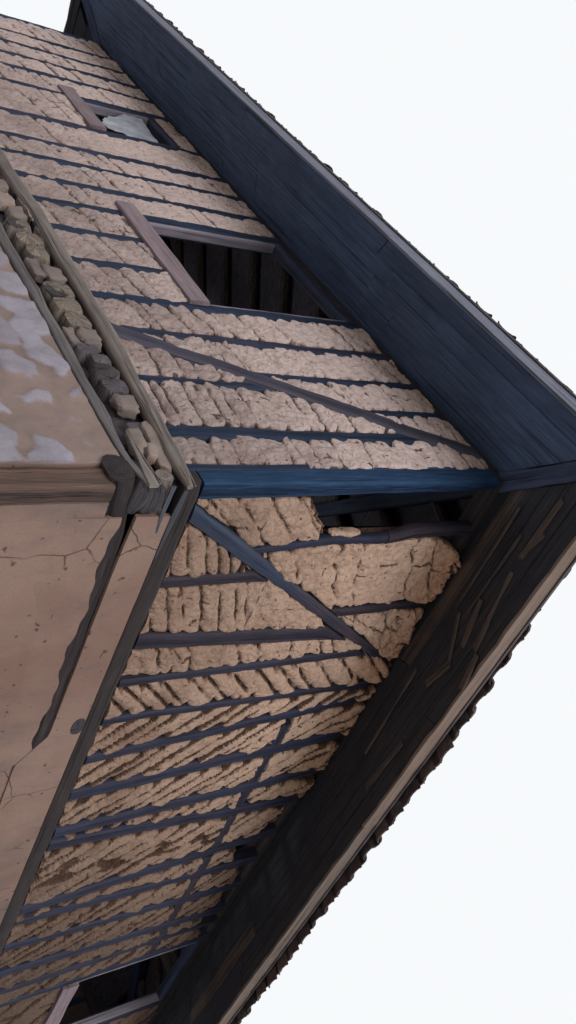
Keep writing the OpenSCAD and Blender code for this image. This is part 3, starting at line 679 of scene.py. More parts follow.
def lay_panel(heap, left, right, low, high, style, rng, top):
    """Fills the gap between two timbers with courses of mud brick, as one face: cracks where the
    joints show, sides that are ragged where they lap the timbers, and lumps of packed mud.
    top gives the height that the face may reach at each place along the wall."""
    cell, slant = style["cell"], style["slant"]
    ends = [left.span(z)[1] for z in (low, high)] + [right.span(z)[0] for z in (low, high)]
    high = min(high, float(np.max(top(np.linspace(min(ends), max(ends), 9)))) + 0.02)
    if high - low < 0.04:
        return
    rows = max(4, int((high - low) / cell) + 2)
    heights = np.linspace(low, high, rows)
    a = np.array([left.span(z)[1] for z in heights]) + style["from_left"]
    b = np.array([right.span(z)[0] for z in heights]) - style["from_right"]
    b = np.maximum(b, a + 0.006)
    width, middle = float(np.median(b - a)), float(np.median(a + b)) / 2
    dice = np.random.default_rng(rng.randrange(1 << 30))
    shift = dice.uniform(0, 90)

    # Joints rise along the wall by the slant; some are smeared shut
    spread = abs(slant) * (max(ends) - min(ends)) + 0.15
    joints = [low - spread]
    while joints[-1] < high + spread:
        joints.append(joints[-1] + style["height"] * rng.uniform(0.7, 1.3))
    joints = np.array(joints)
    n = len(joints)
    shown = np.where(dice.random(n) < style["closed"], dice.uniform(0, 0.3, n), dice.uniform(0.8, 1, n))
    parts = max(1, round(width / style["length"]))
    cuts = np.arange(1, parts) / parts + dice.uniform(-0.2, 0.2, (n, parts - 1)) / parts \
        + (np.arange(n) % 2 - 0.5)[:, None] * 0.35 / parts

    def courses(s, z):
        p = np.stack((s, np.zeros_like(s), z), -1) + shift
        c = z - slant * (s - middle) + style["wobble"] * (smooth_noise(p, 0.17) + 0.6 * smooth_noise(p, 0.07))
        at = np.clip(np.searchsorted(joints, c) - 1, 0, n - 2)
        return p, c, at

    def near_joint(c, at, reach):
        return np.maximum(shown[at] * ease(c - joints[at], reach), shown[at + 1] * ease(joints[at + 1] - c, reach))

    fine = max(style["joint"], 2.0 * cell)
    edges = []
    for line, side in ((a, -1), (b, 1)):
        p, c, at = courses(line, heights)
        along = (c - joints[at]) / (joints[at + 1] - joints[at])
        reach = dice.uniform(*style["reach"], n)[at] - style["notch"] * near_joint(c, at, fine)
        reach = reach + style["scallop"] * dice.uniform(0.5, 1.2, n)[at] * (1 - (2 * along ** style["saw"] - 1) ** 2)
        reach = reach + style["ragged"] * (smooth_noise(p + 7 * side, 0.05) + 0.5 * smooth_noise(p, 0.022))
        edges.append(line + side * reach * (style["left_edge"] if side < 0 else 1))
    a2, b2 = edges[0][:, None], np.maximum(edges[1], edges[0] + 0.004)[:, None]
    cols = max(5, int(width / cell) + 4)
    t = np.linspace(0, 1, cols)
    u = 0.5 * t + 0.25 * (1 - np.cos(math.pi * t))
    s = a2 + (b2 - a2) * u
    z = np.repeat(heights[:, None], cols, 1)
    p, c, at = courses(s, z)
    v = (c - joints[at]) / (joints[at + 1] - joints[at])
    part = np.zeros_like(at)
    upright = np.zeros_like(s)
    for k in range(parts - 1):
        part += u > cuts[at, k]
        upright = np.maximum(upright, ease(np.abs(u - cuts[at, k]) * width, fine))
    local = np.clip(1.0 + 0.9 * smooth_noise(p + 60, 0.08), 0, 1)
    seam = np.maximum(near_joint(c, at, fine), upright * 0.9) * local
    bed = np.maximum(near_joint(c, at, style["bed"]) * (0.4 + 0.6 * local), upright * 0.6)

    limit = top(s)
    if style["packed"]:
        limit = limit + 0.024 * (puffs(p * (1, 0, 0) + 3, 0.055) - 0.4) + 0.01 * smooth_noise(p * (1, 0, 0), 0.02)
    rim = ease(limit - z, 0.05) if style["packed"] else 0 * z
    z = np.minimum(z, limit)
    side = ease(np.minimum(s - a2, b2 - s), style["rounding"] * dice.uniform(0.6, 1.3, n)[at])
    brick = dice.uniform(-1, 1, (4, n, parts))[:, at, part]
    depth = style["face"] + style["uneven"] * brick[0] + style["tilt"] * (brick[1] - 0.5) * (v - 0.5)
    depth += style["tilt"] * 0.5 * brick[2] * (u - 0.5)
    depth -= style["bulge"] * (1 - (2 * u - 1) ** 2) * (1 - (2 * v - 1) ** 2)
    depth += np.maximum(np.maximum(rounded(side, style["rounding"]), rounded(rim, 0.05)),
                        rounded(bed, style["bed"] * 0.8))
    depth += style["groove"] * np.clip(seam * 1.5 - 0.5, 0, 1)
    lump = style["lump"] * (1 + 1.2 * ease(limit - z, 0.2) * style["packed"])
    depth -= lump * (puffs(p, 0.10) + 0.7 * puffs(p + 5, 0.045) + 0.35 * smooth_noise(p, 0.022) - 0.6)
    pit = np.clip((smooth_noise(p + 33, 0.04) - 0.66) / 0.1, 0, 1)
    depth += 0.008 * pit
    if style["packed"]:
        depth -= packed_out(s, z)
    # seam times dark paints the joints dark: the dark mud of the joints, and where dark is above 1, painted shade over
    # a wider band in the deep gaps
    edge = np.maximum(np.maximum(np.minimum(seam * style["dark"], 1), pit * 0.8), side ** 2 * 0.5)
    shell(heap, np.dstack((s, depth, z)), BRICK_BACK, 0.5 + 0.5 * brick[3], edge, closed=True)


def lump(heap, centre, half, rng, rough, edge, square=3.0, turn=0.0, rows=9, cols=16):
    """An irregular block or lump of mud: half gives its half sizes along the wall, inwards and up,
    and turn its slope in radians."""
    lat = np.linspace(-math.pi / 2, math.pi / 2, rows)[:, None]
    lon = (np.arange(cols) * 2 * math.pi / cols)[None]

    def bent(v):
        return np.sign(v) * np.abs(v) ** (2 / square)

    wide = bent(np.cos(lat))
    points = np.dstack((wide * bent(np.cos(lon)), wide * bent(np.sin(lon)), bent(np.sin(lat)) + 0 * lon)) * half
    shift = rng.uniform(0, 90)
    size = float(np.mean(half))
    swell = 1 + rough * (smooth_noise(points + shift, size) + 0.6 * smooth_noise(points + shift, size * 0.45)
                         + 0.4 * smooth_noise(points + shift, size * 0.2))
    points *= swell[..., None]
    c, n = math.cos(turn), math.sin(turn)
    points = np.stack((points[..., 0] * c - points[..., 2] * n, points[..., 1],
                       points[..., 0] * n + points[..., 2] * c), -1) + np.asarray(centre, float)
    verts = np.concatenate((points[1:-1].reshape(-1, 3), points[:1, 0], points[-1:, 0]))
    m = (rows - 2) * cols
    faces = [(r * cols + k, r * cols + (k + 1) % cols, (r + 1) * cols + (k + 1) % cols, (r + 1) * cols + k)
             for r in range(rows - 3) for k in range(cols)]
    faces += [(m, (k + 1) % cols, k) for k in range(cols)]
    faces += [(m + 1, m - cols + k, m - cols + (k + 1) % cols) for k in range(cols)]
    heap.add(verts, faces, rng.random(), edge, verts + shift)


def blocked_heights(wall):
    """Heights that rails and windows take from the panels: place along the wall, lowest, highest."""
    spans = []
    rails = members(wall, "window_rails", "rail")
    for rail in rails:
        over = [r for r in rails if abs(r.left - rail.left) < 0.01 and r.low > rail.low]
        if over:
            spans.append((rail.left, rail.right, rail.low, over[0].high))
    if wall.long:
        spans += [(r.left, r.right, r.low, r.high) for r in members(wall, "front_rails", "rail")]
    return spans


def panel_style(wall, s, z, rng):
    """How the bricks of a panel are laid, by its place along the wall and its height.

    slant is the rise of the courses along the wall, height and length the size of a brick, closed
    the share of joints that are smeared shut, and wobble how much a joint wavers. face is the
    depth of the bricks, uneven, tilt and bulge how they differ from a plane, lump the relief of
    the mud, and bed, groove, joint and dark the width of the rounding at a joint, its depth, and
    how wide it shows dark. reach is how far the sides lap the timbers; notch, ragged, scallop and
    saw shape them at each course, left_edge is the share of that on the left, and from_left and
    from_right leave a gap. packed is true under the front eave, and cell is the size of the mesh."""
    style = {"slant": rng.uniform(-0.08, 0.08), "height": rng.uniform(0.13, 0.15), "length": 0.36,
             "closed": 0.12, "wobble": 0.010, "face": 0.002, "uneven": 0.005, "tilt": 0.012,
             "bulge": 0.006, "bed": 0.018, "groove": 0.018, "lump": 0.006, "rounding": 0.024,
             "reach": (-0.024, 0.006), "notch": 0.022, "ragged": 0.007, "scallop": 0.016, "saw": 1.0,
             "from_left": 0.0, "from_right": 0.0, "left_edge": 1.0, "joint": 0.022, "packed": False,
             "dark": 1.0, "cell": 0.04}
    if wall in (FRONT, LEFT):
        style["cell"] = float(np.interp(s, (0.0, 2.0, 5.0, 9.0), (0.012, 0.014, 0.019, 0.027)))
    if wall.long:
        style["packed"] = wall is FRONT and z > TOP - 0.3
        if s < 0.5:
            style.update(slant=0.95, height=0.20, bed=0.024, lump=0.009, closed=0.0)
        elif s < 1.75 and z > UP + 1.3:
            style.update(slant=0.4, height=0.17 if s < 1.1 else 0.14, length=0.26 if s < 1.1 else 0.17, closed=0.4,
                         wobble=0.036, lump=0.012, reach=(-0.022, 0.014), ragged=0.012, bed=0.020)
        elif s < 1.15:
            style.update(slant=0.38, height=0.105, bed=0.016, closed=0.0, lump=0.006, tilt=0.012, length=0.5,
                         reach=(-0.014, 0.006), scallop=0.012, notch=0.016)
        elif s < 1.40:
            style.update(slant=0.45, height=0.125, bed=0.024, notch=0.028, bulge=0.010, scallop=0.022, closed=0.0)
        elif s < 2.0:
            style.update(slant=0.92, height=0.165, bed=0.034, groove=0.030, rounding=0.034, reach=(-0.034, 0.002),
                         notch=0.040, scallop=0.038, bulge=0.016, tilt=0.030, saw=0.6, closed=0.0,
                         joint=0.032, dark=1.3)
        elif s < 5.6:
            # The weathered part: slanting courses, with two stretches packed smoother than the rest
            smooth = 3.38 < s < 3.95 or s > 4.7
            gap = float(np.interp(s, (2.0, 2.6, 3.3, 4.3, 5.4), (0.012, 0.020, 0.040, 0.040, 0.024)))
            # dark=2.0 here and below widens the dark band at the deep joints: painted shade in the gaps, over the
            # joints' own dark mud
            style.update(slant=-1.25, height=0.20, bed=0.032, groove=0.080, lump=0.006, reach=(-0.020, 0.008),
                         notch=0.036, ragged=0.013, tilt=0.028, from_left=gap, from_right=gap * 0.5,
                         closed=0.0, scallop=0.038, saw=0.6, left_edge=0.5, joint=0.060, dark=2.0)
            if smooth and z < UP + 1.4:
                style.update(closed=0.4, from_left=0.014, height=0.23)
        else:
            style.update(slant=-0.7, height=0.18, bed=0.030, groove=0.070, closed=0.2, scallop=0.030, saw=0.6,
                         notch=0.030, left_edge=0.5, joint=0.055, ragged=0.012, dark=2.0)
    elif s < 0.4:
        style.update(slant=0.15, height=0.15, bed=0.022, notch=0.030, reach=(-0.034, -0.004), lump=0.009, tilt=0.022,
                     face=-0.007, rounding=0.018, scallop=0.046, ragged=0.010, saw=0.6, groove=0.012, left_edge=0.25,
                     from_left=0.010)
    elif s < 1.8:
        style.update(slant=0.05 if s < 0.8 else -0.25, height=0.12, closed=0.3, lump=0.009, ragged=0.011,
                     face=-0.007, rounding=0.018, scallop=0.028, tilt=0.018, saw=0.6, reach=(-0.034, -0.004))
    else:
        style.update(slant=-0.22, height=0.14, closed=0.5, lump=0.007, bed=0.012, reach=(-0.014, 0.010), face=-0.004,
                     ragged=0.010, scallop=0.022, saw=0.6)
    return style


def mortar(heap, left, right, low, high, top, front):
    """Dark mud behind the joints of a panel, from the depth of front."""
    heights = np.linspace(low, high, 9)
    outline = [(left.span(z)[1], z) for z in heights] + [(right.span(z)[0], z) for z in heights[::-1]]
    outline = [(s, min(z, float(top(s)))) for s, z in outline]
    n = len(outline)
    verts = [(s, front, z) for s, z in outline] + [(s, JOINT_BACK, z) for s, z in outline]
    faces = [(i + 1, i, n + i, n + i + 1) for i in range(n - 1)] + [(0, n - 1, 2 * n - 1, n)]
    # Strips from side to side keep the skin flat
    for i in range(len(heights) - 1):
        faces.append((i, n - 1 - i, n - 2 - i, i + 1))
        faces.append((n + i + 1, 2 * n - 2 - i, 2 * n - 1 - i, n + i))
    heap.add(verts, faces, 0.9, 1.0)


# Ragged tops of the front wall's panels, as places along the wall and heights
FRONT_TOPS = ((0.0, 6.0), (0.44, 6.02), (0.49, 6.12), (0.52, 6.21), (0.60, 6.38), (0.70, 6.47), (1.12, 6.47),
              (1.17, 6.44), (1.40, 6.48), (3.34, 6.48), (3.49, 6.42), (3.80, 6.31), (4.01, 6.16), (4.12, 6.06),
              (4.3, 6.10), (4.64, 6.31), (4.94, 6.30), (5.27, 6.24), (5.52, 6.20), (5.80, 6.33), (5.9, 6.405),
              (10.0, 6.405))
# Broken edge of the panel that has fallen out beside the front left post
LOSS = ((0.115, 4.885), (0.200, 4.955), (0.260, 5.005), (0.360, 5.105), (0.46, 5.11))


def front_top(s):
    """Height of the front wall's mud at a place along it: broken out beside the crooked stud."""
    return np.where(np.less(s, 0.47), np.interp(s, *zip(*LOSS)), np.interp(s, *zip(*FRONT_TOPS)))


def plain_top(s):
    return np.full_like(s, TOP, dtype=float)


# The bits of mud that still cling to the crooked stud over the loss: centre and half sizes
CLINGING = (((0.436, 0.045, 5.36), (0.022, 0.036, 0.095)), ((0.430, 0.045, 5.25), (0.018, 0.03, 0.05)))
# Depth at which the mud in the joints starts, in common and in deep joints
JOINT_FRONT, DEEP_JOINT_FRONT = 0.036, 0.080


def build_infill(wall, brick, joint):
    rng = random.Random(wall.seed)
    timbers = members(wall, wall.name + "_studs", "stud") + members(wall, wall.braces, "brace") \
        + members(wall, "corner_posts", "post")
    blocked = blocked_heights(wall)
    top = front_top if wall is FRONT else plain_top
    bricks, joints = Heap(), Heap()
    for left, right, low, high in columns(timbers):
        z_mid = (low + high) / 2
        s_mid = (left.span(z_mid)[1] + right.span(z_mid)[0]) / 2
        spans = [(low, high)]
        for a, b, z0, z1 in blocked:
            if a < s_mid < b:
                spans = [(p, q) for lo, hi in spans for p, q in ((lo, min(hi, z0)), (max(lo, z1), hi))
                         if q - p > 0.03]
        for lo, hi in spans:
            style = panel_style(wall, s_mid, hi, rng)
            if left.kind == "stud" and right.kind == "brace" and wall is LEFT:
                style["slant"] = 0.05
            reach = PACKED_TO if wall is FRONT and hi > TOP - 0.01 and 0.4 < s_mid < 3.6 else hi
            low_end = lo if wall.long or lo >= UP + 0.01 else lo - 0.05
            lay_panel(bricks, left, right, low_end, reach, style, rng, top)
            mortar(joints, left, right, lo, hi, top, DEEP_JOINT_FRONT if style["groove"] > 0.04 else JOINT_FRONT)
    if wall is FRONT:
        for centre, half in CLINGING:
            lump(bricks, centre, half, rng, rough=0.25, edge=0.1)
    bricks.piece(wall.name + "_mud_bricks", brick, "adobe", wall, [wall.name + "_infill"])
    joints.piece(wall.name + "_brick_joints", joint, "adobe", wall)


def build_studs(wall, stud_wood, brace_wood):
    """The studs and the long brace of a wall; those of the short walls stand out wider."""
    rng = random.Random(10 + wall.seed)
    node = wall.name + "_studs"
    slot = "grey_timber" if wall.long else "brown_timber"
    heap = Heap()
    wider, spread = (0.0, 0.0) if wall.long else (0.010, 0.032)
    for m in members(wall, node, "stud"):
        tint = float(np.interp(m.left, (0.3, 0.6, 0.7, 1.1, 1.2, 2.5), (0.8, 0.5, 0.05, 0.2, 0.5, 0.9))) \
            if wall.long else rng.random() * 0.6
        out = m.front + 0.004 + rng.uniform(0, 0.003)
        if m.span is not crooked_span:
            upright(heap, m, rng, out, lambda z, a, b: (a - wider, b + wider), square=6.0, tint=tint,
                    foot=0.0 if wall.long else 0.05)
            continue
        for low, high, depth, tone in ((m.low - 0.1, BEND + 0.03, 0.026, 1.0), (BEND - 0.03, m.high, 0.020, 0.0)):
            heights = np.arange(low, high, 0.03)
            sides = np.array([crooked_span(z) for z in heights])
            half = (sides[:, 1:] - sides[:, :1]) / 2
            path = np.column_stack((sides.mean(axis=1), np.full(len(heights), depth), heights))
            beam(heap, path, half * (1, 0, 0), half * (0, 1.1, 0), rng, 2.6, rough=0.004, tint=tone)
    heap.piece(wall.name + "_hewn_studs", stud_wood, slot, wall, [node])
    heap = Heap()
    for m in members(wall, wall.braces, "brace"):
        upright(heap, m, rng, m.front + (0.012 if wall.long else 0.020), lambda z, a, b: (a - spread, b + spread),
                rough=0.007)
        if wall.long:
            heap.tint[-1] = np.clip((heap.verts[-1][:, 2] - UP - 0.75) / 0.6, 0, 1)
    heap.piece(wall.name + "_hewn_braces", brace_wood, slot, wall, [wall.braces])


# Posts and logs

Z_AXIS = np.array((0, 0, 1.0))


def build_posts(upper_wood, ground_wood):
    rng = random.Random(20)
    upper, ground = Heap(), Heap()
    for wall in (FRONT, BACK):
        for m in members(wall, "corner_posts", "post"):
            near = m.left < 1

            def narrowed(z, a, b):
                less = 0.03 * (z - m.low) / (m.high - m.low)
                return (a, b - less) if near else (a + less, b)

            part = Heap()
            if wall is FRONT and near:
                # The photographed post leans, and its side on the short wall widens upwards
                t = np.linspace(0, 1, 34)[:, None]
                right, back = 0.118 - 0.042 * t, 0.118 + 0.050 * t
                path = np.hstack((right / 2 - 0.002, back / 2 - 0.002, m.low + (m.high - m.low) * t))
                beam(part, path, (right / 2 + 0.002) * (1, 0, 0), (back / 2 + 0.002) * (0, 1, 0), rng, 7.0, rough=0.005)
            else:
                upright(part, m, rng, 0.004, narrowed, square=7.0, rough=0.005)
            move(part, upper, wall)
        for m in members(wall, "ground_corner_posts", "post"):
            part = Heap()
            upright(part, m, rng, 0.014, square=6.0, rough=0.010, step=0.12, tint=0.0)
            # Painted shade: the post's side towards the long wall is painted darker, as its shadow side
            place = np.concatenate(part.verts)
            part.tint = [np.clip((0.045 - place[:, 1]) / 0.02 + 0.5 * smooth_noise(place, 0.15) + 0.4, 0, 1)
                         * np.clip((0.115 - place[:, 1]) / 0.04, 0, 1)]
            move(part, ground, wall)
    upper.piece("upper_corner_posts_hewn", upper_wood, "grey_timber", replaces=["corner_posts"])
    ground.piece("ground_corner_posts_hewn", ground_wood, "brown_timber", replaces=["ground_corner_posts"])


def move(part, heap, wall):
    """Moves what was gathered on a wall into a heap in the scene's own axes."""
    faces = [f[::-1] for f in part.faces] if wall.mirrored else part.faces
    heap.add(wall.to_world(np.concatenate(part.verts)), faces, np.concatenate(part.tint),
             np.concatenate(part.edge), np.concatenate(part.grain))


def log(heap, start, end, radius, rng, square, rough, step=0.12, spokes=None, tint=None):
    """A straight log; radius gives its half width and half height."""
    start, end = np.array(start, float), np.array(end, float)
    length = np.linalg.norm(end - start)
    t = np.linspace(0, 1, max(4, int(length / step)))[:, None]
    path = start + (end - start) * t
    along = (end - start) / length
    side = np.array((1.0, 0, 0)) if abs(along[2]) > 0.9 else np.cross(Z_AXIS, along)
    side /= np.linalg.norm(side)
    up = np.cross(along, side)
    swell = 1 + 0.05 * smooth_noise(np.column_stack((t, t * 0, t * 0)) * 3 + rng.uniform(0, 9), 0.7)[:, None]
    beam(heap, path, side * radius[0] * swell, up * radius[1] * swell, rng, square, rough, tint, spokes)


def pole(heap, wall, stations, rng, square, rough, step=0.09, **more):
    """A timber along a wall through stations: place, depth and height of its middle, half depth
    and half height."""
    s, *rest = np.array(stations, float).T
    at = np.linspace(s[0], s[-1], max(6, int((s[-1] - s[0]) / step)))
    d, z, a, b = (np.interp(at, s, v) for v in rest)
    inward = np.array([*wall.axes[1], 0.0])
    path = wall.to_world(np.column_stack((at, d, z)))
    beam(heap, path, a[:, None] * inward, b[:, None] * Z_AXIS, rng, square, rough, **more)


def butt(heap, wall, s, z, half_s, half_z, proud, rng, square, rough, tint=None):
    """A timber's hewn end that stands out of a wall."""
    d = np.linspace(0.16, -proud, 6)
    path = wall.to_world(np.column_stack((np.full(6, s), d, z + rng.uniform(-0.15, 0.15) * (d - d[-1]))))
    narrow = np.array((1, 1, 1, 1, 0.97, 0.86))[:, None]
    along = np.array([*wall.axes[0], 0.0])
    beam(heap, path, along * half_s * narrow, Z_AXIS * half_z * narrow, rng, square, rough, tint, True)


# The logs that the photograph shows, as stations for pole()
SHOWN_LOGS = {
    "side_sole_plates": (LEFT, (
        (-0.050, -0.020, 4.018, 0.010, 0.012), (0.03, -0.014, 4.026, 0.024, 0.026), (0.14, -0.010, 4.036, 0.034, 0.038),
        (0.52, -0.008, 4.062, 0.042, 0.042), (0.90, -0.008, 4.074, 0.042, 0.042), (1.33, -0.006, 4.110, 0.047, 0.048),
        (2.30, -0.004, 4.130, 0.050, 0.052), (2.88, -0.004, 4.148, 0.052, 0.054), (3.8, 0.0, 4.130, 0.054, 0.056),
        (5.5, 0.015, 4.100, 0.058, 0.060), (7.92, 0.050, 4.065, 0.068, 0.068))),
    "side_wall_plates": (LEFT, (
        (-0.012, -0.010, 3.800, 0.010, 0.009), (0.20, 0.0, 3.762, 0.020, 0.024), (0.58, 0.014, 3.778, 0.034, 0.035),
        (0.905, 0.016, 3.780, 0.036, 0.036), (2.04, 0.022, 3.797, 0.042, 0.042), (3.5, 0.030, 3.797, 0.050, 0.048),
        (7.96, 0.045, 3.795, 0.064, 0.064))),
    "front_sole_plates": (FRONT, (
        (-0.010, 0.045, 4.078, 0.046, 0.042), (0.10, 0.045, 4.072, 0.058, 0.055), (0.43, 0.047, 4.066, 0.066, 0.066),
        (9.20, 0.050, 4.065, 0.068, 0.068))),
    "front_wall_plates": (FRONT, (
        (-0.024, 0.092, 3.676, 0.112, 0.076), (0.15, 0.090, 3.695, 0.108, 0.088), (0.50, 0.0825, 3.7325, 0.1, 0.1),
        (9.26, 0.0825, 3.7325, 0.1, 0.1))),
}


def along_boxes(node):
    """Start, end and half sizes of each solid of a node, along its longest side."""
    for corners, _ in solids(node):
        low, high = corners.min(axis=0), corners.max(axis=0)
        axis = int(np.argmax(high - low))
        middle = (low + high) / 2
        start, end = middle.copy(), middle.copy()
        start[axis], end[axis] = low[axis], high[axis]
        side = [i for i in range(3) if i != axis]
        yield start, end, ((high - low)[side[0]] / 2, (high - low)[side[1]] / 2)


def build_logs(woods):
    """Plates and joists: hewn logs in the boxes of the frame, and those of SHOWN_LOGS."""
    rng = random.Random(30)
    for node, wood, slot, square, rough, spokes in (
            ("front_wall_plates", "dark", "brown_timber", 2.4, 0.010, False),
            ("side_wall_plates", "grey", "brown_timber", 2.4, 0.008, False),
            ("floor_joists", "brown", "brown_timber", 2.3, 0.012, True),
            ("side_sole_plates", "pale", "brown_timber", 2.6, 0.008, False),
            ("front_sole_plates", "dark", "grey_timber", 4.0, 0.008, True),
            ("front_top_plates", "dark", "brown_timber", 5.0, 0.005, True),
            ("side_top_plates", "dark", "brown_timber", 5.0, 0.005, True)):
        heap = Heap()
        wall, stations = SHOWN_LOGS.get(node, (None, None))
        for start, end, radius in along_boxes(node):
            if (wall is LEFT and start[0] < 0) or (wall is FRONT and start[1] < HOUSE_Y):
                pole(heap, wall, stations, rng, square, rough, spokes=spokes)
            elif node == "floor_joists" and start[1] - Y0 < 0.2:
                depth = start[1] - Y0
                pole(heap, FRONT, ((0.25, 0.06, 3.915, 0.056, 0.058), (0.6, depth, start[2], *radius),
                                   (FRONT_LEN + 0.04, depth, start[2], *radius)), rng, square, rough, spokes=spokes)
            else:
                log(heap, start, end, radius, rng, square, rough, spokes=spokes)
        heap.piece(node + "_hewn", woods[wood], slot, replaces=[node])


def build_rails(woods):
    """Rails, sills and linings, hewn or split from the boxes of the frame."""
    rng = random.Random(35)
    for node, wood, slot, square, rough, out, thin in (
            ("front_rails", "front_stud", "brown_timber", 5.0, 0.006, 0.018, 0.0),
            ("window_rails", "side_stud", "brown_timber", 5.0, 0.006, 0.018, 0.0),
            ("window_linings", "lining", "boards", 8.0, 0.003, 0.030, 0.0),
            ("window_sills", "sill", "boards", 8.0, 0.004, 0.0, 0.004)):
        heap = Heap()
        for start, end, half in along_boxes(node):
            out_x = abs(start[0]) > FRONT_LEN / 2 - 0.3 and abs(end[0]) > FRONT_LEN / 2 - 0.3
            shift = np.array((math.copysign(out, start[0]), 0, 0) if out_x
                             else (0, math.copysign(out, start[1] - HOUSE_Y), 0))
            shift[2] += thin
            log(heap, start + shift, end + shift, (half[0], half[1] - thin), rng, square, rough, step=0.08)
        heap.piece(node + "_hewn", woods[wood], slot, replaces=[node])


def patch(heap, s0, s1, z0, z1, face, back, rng):
    """An uneven face of mud at one depth, closed to its back."""
    uneven, cell = 0.012, 0.05
    cols, rows = max(3, int((s1 - s0) / cell)), max(3, int((z1 - z0) / cell))
    s, z = np.meshgrid(np.linspace(s0, s1, cols), np.linspace(z0, z1, rows))
    p = np.dstack((s, s * 0, z)) + rng.uniform(0, 90)
    d = face + uneven * (smooth_noise(p, 0.14) + 0.6 * smooth_noise(p, 0.06))
    shell(heap, np.dstack((s, d, z)), back, 0.7, 0.3, closed=True)


# What fills the edge of the floor on the short walls. Hewn ends: place, height, half width, half
# height, how far they stand out, and tone. Blocks: place, depth, height, their half sizes and slope
FLOOR_ENDS = (
    (0.47, 3.955, 0.062, 0.058, -0.012, 0.25), (0.83, 3.945, 0.060, 0.072, 0.020, 0.15),
    (0.945, 3.930, 0.072, 0.085, 0.036, 0.05), (1.075, 3.950, 0.066, 0.078, 0.030, 0.30),
    (1.185, 3.905, 0.050, 0.060, 0.024, 0.20), (1.49, 3.955, 0.080, 0.080, 0.028, 0.95),
    (1.65, 3.940, 0.082, 0.092, 0.034, 0.85), (1.82, 3.945, 0.076, 0.084, 0.036, 0.75),
    (2.31, 3.965, 0.085, 0.085, 0.028, 0.95), (2.48, 3.960, 0.080, 0.092, 0.032, 0.80),
    (2.655, 3.950, 0.080, 0.088, 0.036, 0.70))
FLOOR_BLOCKS = (
    ((0.32, 0.02, 3.985), (0.20, 0.035, 0.036), 0.12, 0.45), ((0.245, 0.0, 3.925), (0.055, 0.035, 0.030), 0.25, 0.3),
    ((0.335, 0.01, 3.880), (0.105, 0.04, 0.038), 0.10, 0.2), ((0.665, 0.0, 3.945), (0.082, 0.040, 0.060), 0.10, 0.1),
    ((1.315, 0.0, 3.965), (0.090, 0.045, 0.066), 0.05, 0.15), ((1.30, 0.02, 3.865), (0.11, 0.04, 0.034), 0.0, 0.4),
    ((2.03, 0.0, 3.985), (0.085, 0.045, 0.062), 0.05, 0.2), ((2.11, 0.01, 3.890), (0.12, 0.04, 0.040), 0.0, 0.35),
    ((2.86, 0.0, 3.990), (0.085, 0.045, 0.066), -0.05, 0.2), ((3.06, 0.0, 3.960), (0.095, 0.045, 0.070), 0.05, 0.3),
    ((3.26, 0.0, 3.985), (0.080, 0.045, 0.060), 0.0, 0.2))


def build_floor_edge(wall, woods, block, recess):
    """What fills a short wall between the plate and the sole plate: at first as the photograph
    shows it, then three hewn ends and three blocks to each joist."""
    rng = random.Random(90 + wall.seed)
    back, blocks, ends = Heap(), Heap(), Heap()
    patch(back, 0.05, wall.length - 0.05, STONE_TOP - 0.01, UP + 0.03, 0.062, 0.16, rng)
    timbers, lumps = list(FLOOR_ENDS), list(FLOOR_BLOCKS)
    for joist in (3.5205, 4.38, 5.239, 6.0985, 6.958, 7.8175):
        for off in (-0.31, -0.155, 0.0):
            timbers.append((joist + off, rng.uniform(3.925, 3.955), rng.uniform(0.07, 0.085), rng.uniform(0.075, 0.09),
                            rng.uniform(0.022, 0.036), rng.uniform(0.5, 1.0)))
        if joist < 7.5:
            for off in (0.15, 0.30, 0.44):
                lumps.append(((joist + off, 0.005, rng.uniform(3.95, 3.98)), (0.08, 0.045, rng.uniform(0.05, 0.075)),
                              rng.uniform(-0.1, 0.1), rng.uniform(0.1, 0.5)))
    for at, z, half_s, half_z, proud, tint in timbers:
        # Each end was hewn to facets that meet at its middle
        butt(ends, wall, at, z, half_s, half_z, proud, rng, rng.uniform(2.6, 4.5), 0.024, tint)
    for centre, half, turn, edge in lumps:
        lump(blocks, centre, half, rng, 0.21, edge, rng.uniform(3.4, 6.0), turn, rows=19, cols=34)
    back.piece(wall.name + "_floor_edge_mud", recess, "mud_plaster", wall, ["joist_packing"])
    blocks.piece(wall.name + "_floor_edge_blocks", block, "mud_plaster", wall)
    ends.piece(wall.name + "_floor_edge_timbers", woods["joist_end"], "brown_timber")


